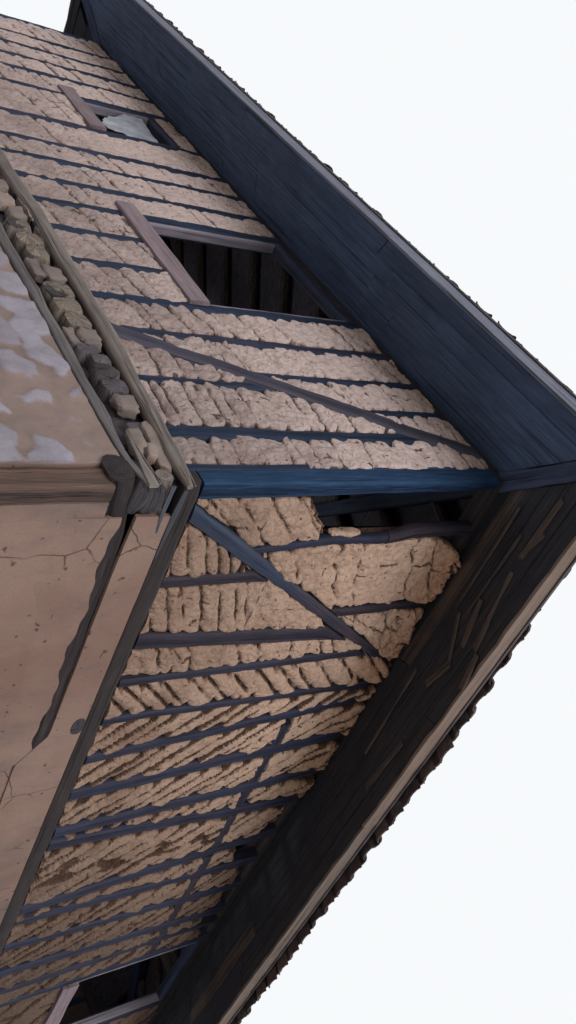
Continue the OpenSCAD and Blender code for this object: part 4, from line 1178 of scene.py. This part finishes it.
def build_near_corner(woods):
    """Split boards, the first joist and the broken block at the corner that the photograph shows."""
    rng = random.Random(33)
    pale, dark, blue = Heap(), Heap(), Heap()
    pole(pale, FRONT, ((-0.032, 0.032, 3.903, 0.046, 0.048), (0.10, 0.038, 3.906, 0.050, 0.052),
                       (0.30, 0.060, 3.914, 0.054, 0.056)), rng, 2.2, 0.005, 0.04, spokes=False, tint=0.2)
    pole(pale, LEFT, ((-0.040, -0.022, 3.818, 0.010, 0.026), (0.05, -0.026, 3.816, 0.012, 0.022),
                      (0.16, -0.026, 3.822, 0.010, 0.013), (0.40, -0.022, 3.838, 0.006, 0.006)), rng, 5.0, 0.004, 0.03)
    pole(pale, LEFT, ((-0.020, -0.018, 3.862, 0.004, 0.004), (0.12, -0.024, 3.852, 0.006, 0.006),
                      (0.30, -0.022, 3.850, 0.004, 0.004)), rng, 3.0, 0.003, 0.03)
    pole(pale, LEFT, ((-0.030, -0.010, 4.062, 0.005, 0.004), (0.06, -0.012, 4.066, 0.008, 0.007),
                      (0.30, -0.006, 4.084, 0.006, 0.006)), rng, 3.0, 0.003, 0.03)
    # On the long side
    pole(dark, FRONT, ((-0.012, 0.040, 3.862, 0.050, 0.052), (0.04, 0.034, 3.866, 0.066, 0.062),
                       (0.12, 0.030, 3.862, 0.066, 0.060), (0.17, 0.034, 3.856, 0.052, 0.048)), rng, 3.2, 0.022, 0.02,
         spokes=True)
    pole(dark, FRONT, ((-0.004, 0.045, 3.800, 0.052, 0.040), (0.05, 0.030, 3.790, 0.070, 0.056),
                       (0.13, 0.026, 3.772, 0.070, 0.062), (0.19, 0.034, 3.760, 0.054, 0.046)), rng, 3.2, 0.022, 0.02,
         spokes=True)
    butt(dark, FRONT, 1.90, 3.955, 0.085, 0.050, 0.030, rng, 2.4, 0.010)
    pole(blue, FRONT, ((-0.005, -0.026, 3.940, 0.007, 0.015), (0.125, -0.028, 3.934, 0.008, 0.017),
                       (0.22, -0.026, 3.938, 0.007, 0.012), (0.31, -0.022, 3.948, 0.005, 0.005)), rng, 4.0, 0.005, 0.03)
    pole(blue, FRONT, ((0.02, -0.024, 4.022, 0.006, 0.010), (0.16, -0.026, 4.010, 0.008, 0.014),
                       (0.50, -0.022, 4.006, 0.006, 0.006)), rng, 4.0, 0.004, 0.03)
    pale.piece("near_corner_split_boards", woods["pale"], "brown_timber")
    dark.piece("near_corner_dark_block", woods["corner"], "brown_timber")
    blue.piece("near_corner_blue_boards", woods["blue_board"], "boards")


# Roof: pitch, levels and thicknesses as in the part's source

PITCH = math.radians(22)
PLATE_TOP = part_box("front_top_plates")[1].z
RAFTER_D, ROOF_BOARD_T, TILE_T, SOFFIT_T, EAVE_BOARD_T = 0.100, 0.025, 0.090, 0.020, 0.025
TILE_STEP = 0.25
# Half width and half height of a hip rafter, and the clearance between the frame's pieces
HIP_HALF, FIT = (0.065, 0.075), 0.0003
ROOF_Z = PLATE_TOP + FIT + RAFTER_D / math.cos(PITCH) - STUD_IN * math.tan(PITCH)
HALF_DEPTH = SIDE_LEN / 2
# How far the boards and the tiles of each slope reach beyond the wall
OVERHANG = {"front": 0.8, "left": 0.8, "right": 0.8, "back": 0.55}
TILE_REACH = {"front": 0.89, "left": 0.805, "right": 0.86, "back": 0.61}


def on_slope(s, q, h):
    """Wall coordinates of a point over a wall: s along it, q up the slope from the wall's face
    and h square to the slope, above the rafters."""
    s, q, h = np.broadcast_arrays(*(np.asarray(v, float) for v in (s, q, h)))
    return np.stack((s, q * math.cos(PITCH) - h * math.sin(PITCH),
                     ROOF_Z + q * math.sin(PITCH) + h * math.cos(PITCH)), -1)


def plank(heap, ends_low, ends_high, q_low, q_high, h_low, h_high, rng, tint):
    """A rough board on a slope between two lines up it; ends_low and ends_high are where its
    lower and upper edge start and stop along the wall."""
    wobble, step, reach = 0.004, 0.3, ends_low[1] - ends_low[0]
    n = max(2, int(reach / step))
    t = np.linspace(0, 1, n)
    low_s = ends_low[0] + reach * t
    high_s = ends_high[0] + (ends_high[1] - ends_high[0]) * t
    shift = rng.uniform(0, 90)
    waves = [smooth_noise(np.column_stack((t * reach, t * 0, t * 0 + k)) + shift, 0.35) * wobble for k in range(3)]
    sag = waves[2] * 1.2
    low, high = q_low + waves[0], q_high + waves[1]
    rings = np.stack((on_slope(low_s, low, h_low + sag), on_slope(high_s, high, h_low + sag),
                      on_slope(high_s, high, h_high + sag), on_slope(low_s, low, h_high + sag)), 1)
    grain = np.stack((np.tile((0, 1, 1, 0), (n, 1)) * (q_high - q_low) + shift,
                      np.tile((0, 0, 1, 1), (n, 1)) * 0.02 + shift, np.repeat(low_s[:, None], 4, 1) + shift), -1)
    loft(heap, rings, tint, 0.3, grain.reshape(-1, 3))


def build_soffit(wall, wood):
    """Boards under the eaves, from the eave board up to the wall and between the hip rafters."""
    rng = random.Random(40 + wall.seed)
    heap = Heap()
    hip = 0.0653 * math.sqrt(2)
    reach = OVERHANG[wall.name] - EAVE_BOARD_T - 0.002
    low_h = -RAFTER_D - SOFFIT_T
    q, q_end = (low_h * math.sin(PITCH) - reach) / math.cos(PITCH), 0.012 / math.cos(PITCH)
    far_limit = wall.length + (OVERHANG["back"] - 0.03 if wall is LEFT else 1e9)
    near_limit = -(OVERHANG["back"] - 0.03) if wall is RIGHT else -1e9
    while q < q_end - 0.03:
        q_next = min(q + rng.uniform(0.13, 0.20), q_end)
        gap = rng.uniform(0.003, 0.012)
        lines = []
        for edge in (q, q_next - gap):
            r = edge * math.cos(PITCH) - low_h * math.sin(PITCH)
            lines.append((max(r + hip, near_limit), min(wall.length - r - hip, far_limit)))
        cuts = [0.0]
        while cuts[-1] < 1:
            cuts.append(cuts[-1] + rng.uniform(1.6, 3.4) / wall.length)
        cuts[-1] = 1.0
        for a, b in zip(cuts, cuts[1:]):
            if b - a < 0.02:
                continue
            ends = [(lo + (hi - lo) * a + 0.002, lo + (hi - lo) * b - 0.002) for lo, hi in lines]
            drop = rng.uniform(-0.004, 0.004)
            worn = 0.9 if rng.random() < (0.3 if a == 0 else 0.08) else rng.uniform(0, 0.3)
            plank(heap, ends[0], ends[1], q, q_next - gap, low_h + drop, low_h + 0.016 + drop, rng, worn)
        q = q_next
    heap.piece(wall.name + "_eave_planks", wood, "boards", wall, ["soffit_boards"])


# Loose strips and broken boards under the eave that the photograph shows: place and reach beyond
# the wall of each end, half width, and tone
EAVE_LATHS = (((0.01, 0.24), (0.89, 0.28), 0.011, 1.0), ((-0.30, 0.53), (0.18, 0.52), 0.026, 0.9),
              ((-0.06, 0.57), (0.20, 0.50), 0.018, 0.5), ((0.30, 0.53), (0.66, 0.61), 0.020, 0.9),
              ((0.64, 0.44), (0.97, 0.55), 0.034, 0.7), ((0.66, 0.61), (0.87, 0.66), 0.028, 0.9),
              ((0.88, 0.33), (1.16, 0.54), 0.018, 0.8), ((0.86, 0.71), (1.12, 0.78), 0.026, 0.9),
              ((1.14, 0.55), (1.44, 0.48), 0.026, 0.8), ((0.10, 0.40), (0.80, 0.40), 0.014, 0.4),
              ((1.5, 0.30), (2.4, 0.36), 0.013, 0.8), ((1.9, 0.62), (2.5, 0.58), 0.024, 0.5))


def build_laths(wood):
    rng = random.Random(45)
    heap = Heap()
    normal = np.array((0, math.sin(PITCH) * -FRONT.axes[1][1], math.cos(PITCH)))
    for start, end, half, tint in EAVE_LATHS:
        h = -RAFTER_D - SOFFIT_T - rng.uniform(0.008, 0.016)
        s, out = (np.linspace(start[i], end[i], 9) for i in (0, 1))
        path = FRONT.to_world(on_slope(s, (h * math.sin(PITCH) - out) / math.cos(PITCH), h))
        along = path[-1] - path[0]
        side = np.cross(normal, along / np.linalg.norm(along))
        width = half * (1 + 0.25 * smooth_noise(path + 5, 0.15))[:, None]
        beam(heap, path, side * width, np.tile(normal * 0.006, (9, 1)), rng, 4.0, rough=0.005, tint=tint)
    heap.piece("loose_eave_laths", wood, "boards")


def arch(heap, wall, s, q, length, width, rise, h, lift, rng, turned=False):
    """A curved clay tile: a tapered half round shell, its lower end lifted over the one below."""
    sides, thick = 5, 0.014
    t = np.linspace(0, math.pi, sides + 1)
    yaw = rng.uniform(-0.03, 0.03)
    rings = []
    for at, narrow, up in ((0.0, 1.0, lift), (1.0, 0.84, 0.0)):
        for inset in (0.0, thick):
            half, tall = width / 2 * narrow - inset, rise - inset
            cs = s + np.cos(t) * half + yaw * (at - 0.5) * length
            ch = h + up + (-np.sin(t) * tall + rise if turned else np.sin(t) * tall)
            rings.append(on_slope(cs, q + at * length, ch))
    faces = tile_faces(sides + 1)
    heap.add(np.concatenate(rings), faces if turned else [f[::-1] for f in faces], rng.random(), 0.0)


def tile_faces(k):
    """The faces of a tile of four arcs with k points each: the outer and the inner arc of one
    end, then those of the other."""
    faces = []
    for a in range(k - 1):
        faces += [(a, a + 1, 2 * k + a + 1, 2 * k + a),
                  (k + a + 1, k + a, 3 * k + a, 3 * k + a + 1),
                  (a + 1, a, k + a, k + a + 1),
                  (2 * k + a, 2 * k + a + 1, 3 * k + a + 1, 3 * k + a)]
    return faces + [(0, 2 * k, 3 * k, k), (k - 1, 2 * k - 1, 4 * k - 1, 3 * k - 1)]


def eave_reach(wall, s):
    """How far the tiles reach beyond the wall: less near the front corner, uneven elsewhere."""
    reach = TILE_REACH[wall.name]
    if wall is FRONT:
        reach -= float(np.interp(s, (-0.9, 0.3, 1.6, 5.5, 7.0), (0.13, 0.11, 0.0, 0.0, 0.03)))
    if wall is LEFT:
        reach -= float(np.interp(s, (-0.9, 1.0, 3.0, 5.0), (0.01, 0.01, 0.0, 0.0)))
    return reach


def build_tiles(wall, clay):
    """Rows of cover tiles over rows of channel tiles, from the eave to the hips or the ridge."""
    rng = random.Random(50 + wall.seed)
    step, tile = 0.30, 0.38
    heap = Heap()
    rows = int((wall.length / 2 + 0.95) / TILE_STEP) + 1
    low_h = ROOF_BOARD_T + 0.008
    for i in range(-rows, rows + 1):
        for cover in (False, True):
            s = wall.length / 2 + (i + (0 if cover else 0.5)) * TILE_STEP
            reach = eave_reach(wall, s) - (0.03 if cover else 0.0) - rng.uniform(0, 0.03)
            q = -reach / math.cos(PITCH) + 0.02
            top_q = min(HALF_DEPTH, s + 0.25, wall.length - s + 0.25) / math.cos(PITCH)
            while q < top_q:
                at_s = s + rng.uniform(-0.008, 0.008)
                if cover:
                    arch(heap, wall, at_s, q, tile, rng.uniform(0.165, 0.185), 0.044, low_h + 0.018, 0.010, rng)
                else:
                    arch(heap, wall, at_s, q, tile, rng.uniform(0.18, 0.20), 0.034, low_h, 0.010, rng, True)
                q += step + rng.uniform(-0.012, 0.012)
    made = heap.piece(wall.name + "_clay_tiles", clay, "clay_tile", wall, ["roof_tiles"])
    trim_to_roof(made, wall)


def trim_to_roof(piece, wall):
    """Cuts a slope's tiles along its hips and at the edges of the roof."""
    near = Vector(wall.to_world([(0, 0, 0)])[0])
    far = Vector(wall.to_world([(wall.length, 0, 0)])[0])
    inward = Vector((*wall.axes[1], 0))
    along = Vector((*wall.axes[0], 0))
    planes = [(near, inward - along), (far, inward + along)]
    if wall.long:
        planes.append((Vector((0, HOUSE_Y, 0)), inward))
    trim(piece, planes)


def trim(piece, planes=()):
    """Cuts off what lies beyond the planes, and beyond the edges of the roof."""
    low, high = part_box("roof_tiles")
    edges = ((low, (-1, 0, 0)), (low, (0, -1, 0)), (high, (1, 0, 0)), (high, (0, 1, 0)))
    work = bmesh.new()
    work.from_mesh(piece.data)
    for point, normal in (*planes, *edges):
        bmesh.ops.bisect_plane(work, geom=work.verts[:] + work.edges[:] + work.faces[:], plane_co=point,
                               plane_no=normal, clear_outer=True)
    work.to_mesh(piece.data)
    work.free()


def cap_row(heap, start, end, rng):
    """A row of cap tiles over a hip or the ridge."""
    radius, thick, length, step = 0.124, 0.016, 0.42, 0.33
    start, end = np.array(start), np.array(end)
    whole = np.linalg.norm(end - start)
    along = (end - start) / whole
    side = np.cross(Z_AXIS, along)
    side /= np.linalg.norm(side)
    up = np.cross(along, side)
    t = np.linspace(0, math.pi, 8)
    faces = [f[::-1] for f in tile_faces(len(t))]
    at = 0.0
    while at < whole - 0.1:
        rings = []
        for u, narrow, lift in ((0.0, 1.0, 0.004), (min(length, whole - at), 0.84, -0.016)):
            for inset in (0, thick):
                r = radius * narrow - inset
                rings.append(start + along * (at + u) + side * (np.cos(t) * r)[:, None]
                             + up * (np.sin(t) * r * 0.95 + lift)[:, None])
        heap.add(np.concatenate(rings), faces, rng.random(), 0.0)
        at += step + rng.uniform(-0.01, 0.01)


def build_hips(wood, clay):
    """Hip rafters, and the tiles that cap the hips and the ridge."""
    rng = random.Random(60)
    rafters, caps = Heap(), Heap()
    hip_pitch = math.atan(math.tan(PITCH) / math.sqrt(2))
    drop = HIP_HALF[0] / math.sqrt(2) * math.tan(PITCH) + FIT + HIP_HALF[1] / math.cos(hip_pitch)
    over = (ROOF_BOARD_T + TILE_T) / math.cos(PITCH) - 0.092
    for x, x_sign in ((X0, -1), (X1, 1)):
        for y, y_sign, name in ((Y0, -1, "left"), (Y1, 1, "back")):
            def hip_point(r, z):
                return x - x_sign * r, y - y_sign * r, ROOF_Z + r * math.tan(PITCH) + z

            out = OVERHANG[name] - EAVE_BOARD_T
            log(rafters, hip_point(-out + 0.03, -drop), hip_point(HALF_DEPTH - 0.08, -drop), HIP_HALF, rng,
                5.0, 0.006, step=0.15)
            cap_row(caps, hip_point(-TILE_REACH[name] + 0.06, over), hip_point(HALF_DEPTH, over), rng)
    mid_x, ridge_half = (X0 + X1) / 2, (FRONT_LEN - SIDE_LEN) / 2
    z = ROOF_Z + HALF_DEPTH * math.tan(PITCH) + over
    cap_row(caps, (mid_x - ridge_half, HOUSE_Y, z), (mid_x + ridge_half, HOUSE_Y, z), rng)
    rafters.piece("hip_rafters_hewn", wood, "brown_timber", replaces=["hip_rafters"])
    trim(caps.piece("ridge_and_hip_tiles", clay, "clay_tile", replaces=["ridge_tiles"]))


def build_eave_boards(woods):
    """The boards along the eaves, split into lengths."""
    rng = random.Random(70)
    heaps = {"front": Heap(), "side": Heap()}
    for start, end, half in along_boxes("eave_boards"):
        length = np.linalg.norm(end - start)
        along = (end - start) / length
        cuts = [0.0]
        while cuts[-1] < length - 1.5:
            cuts.append(cuts[-1] + rng.uniform(2.2, 3.6))
        cuts[-1:] = [length] if cuts[-1] > length - 0.6 else [cuts[-1], length]
        side = "front" if abs(along[0]) > 0.5 else "side"
        # The boards are taller than the frame's, up to the bedding under the tiles
        start, half = start + np.array((0, 0, 0.016)), (half[0], half[1] + 0.014)
        for a, b in zip(cuts, cuts[1:]):
            log(heaps[side], start + along * (a + 0.002), start + along * (b - 0.002), half, rng, square=9.0,
                rough=0.014 if side == "front" else 0.004, step=0.10, tint=0.0 if a == 0 else rng.uniform(0.5, 1))
    for side, heap in heaps.items():
        heap.piece(side + "_eave_boards_rough", woods[side + "_eave"], "boards", replaces=["eave_boards"])


# Ground storey walls

def skin(heap, s0, s1, z0, z1, rng, face=-0.002, lump=0.008, cell=0.045, low=None, high=None, fade=0.0):
    """A coat of mud over a wall, uneven on its face. low and high give the heights where the
    coat starts and stops at each place along the wall; over the height fade it thins out
    towards its lower edge."""
    cols, rows = max(2, int((s1 - s0) / cell)), max(2, int((z1 - z0) / cell))
    s, t = np.meshgrid(np.linspace(s0, s1, cols), np.linspace(0, 1, rows))
    base = np.full_like(s, z0) if low is None else np.interp(s, *zip(*low))
    head = np.full_like(s, z1) if high is None else np.interp(s, *zip(*high))
    z = base + (head - base) * t
    shift = rng.uniform(0, 90)
    flat = np.dstack((s, s * 0, z)) + shift
    wave = 0.45 * smooth_noise(flat, 0.9) + 0.35 * smooth_noise(flat + 5, 0.3) + 0.2 * smooth_noise(flat + 11, 0.11)
    d = face - lump * (1 + wave)
    if fade:
        d = d * np.clip((z - base) / fade + 0.3 * smooth_noise(flat, 0.12), 0, 1)
    shell(heap, np.dstack((s, d, z)), 0.0, 0.5, 0.0, rim_edge=0.0)


def clods(s, z, wide, tall, seed):
    """Stones packed in mud: how far each point is from the cracks between them, in metres, and a
    random value for its stone."""
    far_off = 9.0
    first, second, tone = np.full(s.shape, far_off), np.full(s.shape, far_off), np.zeros(s.shape)
    cell_s, cell_z = np.floor(s / wide), np.floor(z / tall)
    for ds in (-1, 0, 1):
        for dz in (-1, 0, 1):
            cs, cz = cell_s + ds, cell_z + dz
            key = np.stack((cs * 1.37 + seed, cz * 1.71, cs * 0.31 + cz * 0.77), -1)
            ps = (cs + 0.5 + 0.45 * smooth_noise(key, 0.37) + 0.25 * (cz % 2)) * wide
            pz = (cz + 0.5 + 0.40 * smooth_noise(key + 31, 0.37)) * tall
            d = np.hypot(s - ps, (z - pz) * wide / tall)
            nearest = d < first
            second = np.where(nearest, first, np.minimum(second, d))
            tone = np.where(nearest, 0.5 + 0.7 * smooth_noise(key + 77, 0.37), tone)
            first = np.minimum(first, d)
    return (second - first) / 2, tone


def stone_face(heap, s0, s1, z0, z1, rng, cell):
    """A rubble wall: stones nearly flush in mud that is smeared over their edges. The mesh is
    finer near the corner and the top, which the photograph shows."""
    cols, rows = int((s1 - s0) / cell), int((z1 - z0) / cell)
    s = s0 + (s1 - s0) * np.linspace(0, 1, cols) ** 1.25
    z = z1 - (z1 - z0) * np.linspace(1, 0, rows) ** 1.25
    s, z = np.meshgrid(s, z)
    shift = rng.uniform(0, 90)
    p = np.dstack((s, s * 0, z)) + shift
    warp = [0.09 * smooth_noise(p + k, 0.24) + 0.05 * smooth_noise(p + k, 0.10) + 0.016 * smooth_noise(p + k, 0.045)
            for k in (2, 9)]
    gap, tone = clods(s + warp[0], z + warp[1], 0.40, 0.27, rng.randrange(99))
    smeared = 0.045 + 0.06 * smooth_noise(p + 50, 0.45) + 0.03 * smooth_noise(p + 60, 0.13)
    smeared = smeared + 0.05 * np.clip((z - 3.35) / 0.3, 0, 1) * np.clip(1.2 - s, 0, 1)
    bare = np.clip((gap - smeared) / 0.030 + 0.25 * smooth_noise(p + 70, 0.05), 0, 1)
    d = -0.004 - 0.012 * bare - 0.004 * (1 + smooth_noise(p, 0.3)) - 0.005 * bare * puffs(p + 5, 0.12) \
        - 0.003 * (1 + smooth_noise(p, 0.06))
    shell(heap, np.dstack((s, d, z)), 0.0, tone, 1 - bare, rim_tint=1.0)


def build_ground_walls(stone, plaster):
    """Rubble on the short walls, and a coat of mud on the long ones."""
    for wall, cell in ((LEFT, 0.026), (RIGHT, 0.036)):
        rubble = Heap()
        stone_face(rubble, 0.152, wall.length - 0.152, 0.002, STONE_TOP - 0.001, random.Random(80 + wall.seed), cell)
        rubble.piece(wall.name + "_rubble_face", stone, "stone", wall)
    log_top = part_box("front_wall_plates")[1].z
    # The band of plaster over the joists leaves the plate log bare up to here
    bare_to = 1.95
    low = ((0, log_top - 0.03), (0.6, log_top - 0.05), (bare_to, log_top - 0.05), (bare_to + 0.25, MUD_TOP),
           (99, MUD_TOP))
    # The plaster below laps the lower half of the plate log
    high = [(a, MUD_TOP + 0.075 + 0.015 * math.sin(9 * a) + 0.008 * math.sin(31 * a))
            for a in np.arange(0, bare_to + 0.3, 0.05)]
    for wall in (FRONT, BACK):
        rng = random.Random(80 + wall.seed)
        coat = Heap()
        near, far = 0.112, wall.length - 0.112
        if wall is BACK:
            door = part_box("door_frame")[1]
            middle = wall.length / 2
            skin(coat, near, middle - door.x, 0.002, door.z, rng)
            skin(coat, middle + door.x, far, 0.002, door.z, rng)
            skin(coat, near, far, door.z, MUD_TOP - 0.002, rng)
        else:
            skin(coat, near, far, 0.002, MUD_TOP - 0.002, rng)
        start, end = 0.195 if wall is FRONT else 0.37, wall.length - 0.12
        skin(coat, start, end, MUD_TOP, SOLE_Z - 0.001, rng, face=-0.016, low=low)
        skin(coat, 0.20, bare_to + 0.25, MUD_TOP - 0.32, MUD_TOP, rng, face=-0.017, lump=0.005, cell=0.02, high=high,
             fade=0.22)
        coat.piece(wall.name + "_mud_coat", plaster, "mud_plaster", wall, ["plaster_bands"])


# Torn film over the small window of the left wall: place, top and bottom
FILM = ((4.992, 6.02, 5.74), (5.10, 6.05, 5.55), (5.21, 6.04, 5.50), (5.32, 6.06, 5.58), (5.43, 6.07, 5.66),
        (5.50, 6.08, 5.80), (5.605, 6.09, 5.90))


def build_film(material):
    """The torn sheet of film, fixed at its upper edge and to the window's near side."""
    s_line, top, bottom = np.array(FILM).T
    s, t = np.meshgrid(np.linspace(s_line[0], s_line[-1], 48), np.linspace(0, 1, 36))
    ragged = 0.02 * smooth_noise(np.dstack((s, s * 0, s * 0 + 3)), 0.03)
    low, high = np.interp(s, s_line, bottom) + ragged, np.interp(s, s_line, top)
    z = low + (high - low) * t
    p = np.dstack((s, s * 0, z))
    d = 0.020 + 0.014 * (1 - t) * smooth_noise(p * (1, 1, 0.35), 0.07) + 0.006 * smooth_noise(p + 9, 0.05)
    rows, cols = s.shape
    verts = LEFT.to_world(np.dstack((s, d, z)).reshape(-1, 3))
    faces = [(r * cols + c, (r + 1) * cols + c, (r + 1) * cols + c + 1, r * cols + c + 1)
             for r in range(rows - 1) for c in range(cols - 1)]
    mesh = bpy.data.meshes.new("torn_window_film")
    mesh.from_pydata(verts.tolist(), [], faces)
    mesh.materials.append(material)
    mesh.shade_smooth()
    film = bpy.data.objects.new("torn_window_film", mesh)
    bpy.context.scene.collection.objects.link(film)
    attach(film, "root")


add_camera()
add_light_and_floor()

# The fourth tone given to adobe_tan and adobe_grey is painted light, for the band just under the eaves
adobe = adobe_material("adobe_tan", (152, 122, 105), (176, 147, 128), (94, 70, 56), (212, 160, 124), (74, 60, 52))
adobe_grey = adobe_material("adobe_grey", (164, 142, 136), (192, 170, 162), (100, 82, 74), (186, 156, 138))
adobe_joint = adobe_material("adobe_joints", (70, 56, 50), (84, 68, 58), (44, 36, 32))
recess = adobe_material("dark_packing", (78, 74, 80), (104, 96, 96), (48, 46, 52))
mud = plaster_material("mud_plaster", (132, 104, 92), (100, 91, 90), (148, 121, 108))
blocks = stone_material("floor_edge_blocks", (156, 140, 130), (132, 118, 112), (84, 76, 76), (146, 124, 112))
stones = stone_material("field_stones", (162, 154, 163), (146, 137, 144), (112, 103, 106), (148, 127, 118))
clay = tile_material("clay_tiles", (92, 72, 66), (54, 46, 46), (120, 112, 108))
# Name, dark, middle and light tone of each timber, and the further values that some have
WOODS = {key: wood_material(*values) for key, values in {
    "post": ("blue_post", (6, 20, 42), (14, 40, 76), (62, 98, 134), None, 0.75),
    "brace": ("blue_grey_brace", (30, 34, 50), (48, 58, 80), (92, 96, 108), (74, 58, 66)),
    "side_brace": ("plum_grey_brace", (46, 40, 52), (78, 66, 82), (116, 104, 112), (66, 68, 82)),
    "front_stud": ("front_studs_wood", (26, 25, 34), (56, 46, 56), (86, 76, 84), (40, 50, 76)),
    "side_stud": ("side_studs_wood", (22, 30, 46), (36, 50, 74), (70, 78, 96), (70, 62, 80)),
    "dark": ("dark_logs", (34, 29, 31), (58, 49, 50), (98, 86, 82)),
    "brown": ("brown_logs", (46, 42, 44), (80, 74, 76), (128, 118, 112)),
    "grey": ("grey_logs", (82, 75, 76), (130, 122, 122), (176, 168, 162)),
    "pale": ("pale_poles", (84, 75, 72), (138, 126, 118), (184, 172, 160)),
    "joist_end": ("joist_ends_wood", (54, 50, 56), (92, 84, 92), (154, 144, 136), (150, 132, 114)),
    "corner": ("corner_block_wood", (36, 34, 42), (60, 56, 64), (138, 128, 124)),
    "blue_board": ("blue_split_boards", (44, 46, 56), (72, 76, 86), (132, 132, 136)),
    "lining": ("window_linings_wood", (92, 86, 98), (138, 128, 140), (182, 172, 176)),
    "sill": ("window_sills_wood", (84, 70, 74), (128, 108, 114), (184, 166, 168)),
    # The ground posts' last tone is painted shade, for their shadow side towards the long wall
    "ground_post": ("ground_posts_wood", (54, 43, 40), (114, 86, 74), (154, 126, 110), (48, 37, 38)),
    "front_soffit": ("front_eave_planks", (30, 31, 37), (46, 47, 55), (88, 78, 72), (96, 80, 70)),
    "lath": ("eave_laths_wood", (44, 40, 40), (60, 54, 54), (110, 98, 90), (96, 80, 70)),
    # Painted light: the side planks are lighter and bluer than the front ones, for the bounce light and blue haze under
    # the side eaves, over the planks' own grey
    "side_soffit": ("side_eave_planks", (48, 60, 82), (74, 90, 120), (112, 122, 142)),
    "front_eave": ("front_eave_wood", (84, 68, 60), (124, 102, 91), (160, 142, 128), (84, 74, 70)),
    "side_eave": ("side_eave_wood", (84, 86, 98), (116, 118, 132), (150, 152, 162)),
    "hip": ("hip_rafters_wood", (36, 42, 62), (58, 68, 96), (96, 104, 124)),
}.items()}
for wall in (FRONT, LEFT, BACK, RIGHT):
    side = "front" if wall.long else "side"
    build_infill(wall, adobe if wall.long else adobe_grey, adobe_joint)
    build_studs(wall, WOODS[side + "_stud"], WOODS["brace" if wall.long else "side_brace"])
    build_soffit(wall, WOODS[side + "_soffit"])
    build_tiles(wall, clay)
build_posts(WOODS["post"], WOODS["ground_post"])
build_logs(WOODS)
build_rails(WOODS)
for wall in (LEFT, RIGHT):
    build_floor_edge(wall, WOODS, blocks, recess)
build_near_corner(WOODS)
build_film(film_material())
build_laths(WOODS["lath"])
build_hips(WOODS["hip"], clay)
build_eave_boards(WOODS)
build_ground_walls(stones, mud)

# Pieces of the frame that show as they are, by the axis of their grain
plain_wood = {a: wood_material("timber_along_" + a, (44, 36, 34), (80, 68, 62), (118, 104, 94), along=a) for a in "xyz"}
plain_board = {a: wood_material("board_along_" + a, (52, 46, 50), (88, 80, 84), (124, 114, 112), along=a) for a in "xy"}
PLAIN = {
    "left_stone_wall": mud, "right_stone_wall": mud, "front_mud_wall": mud, "back_mud_wall": mud,
    "side_rafters": plain_wood["x"], "ridge_beam": plain_wood["x"],
    "front_rafters": plain_wood["y"], "floor_beam": plain_wood["y"], "tie_beams": plain_wood["y"],
    "door_frame": plain_wood["z"], "beam_posts": plain_wood["z"], "ridge_posts": plain_wood["z"],
    "roof_boards": plain_board["x"], "floor_deck": plain_board["y"],
}
for name, material in PLAIN.items():
    mesh = nodes[name].data
    mesh.materials.clear()
    mesh.materials.append(material)
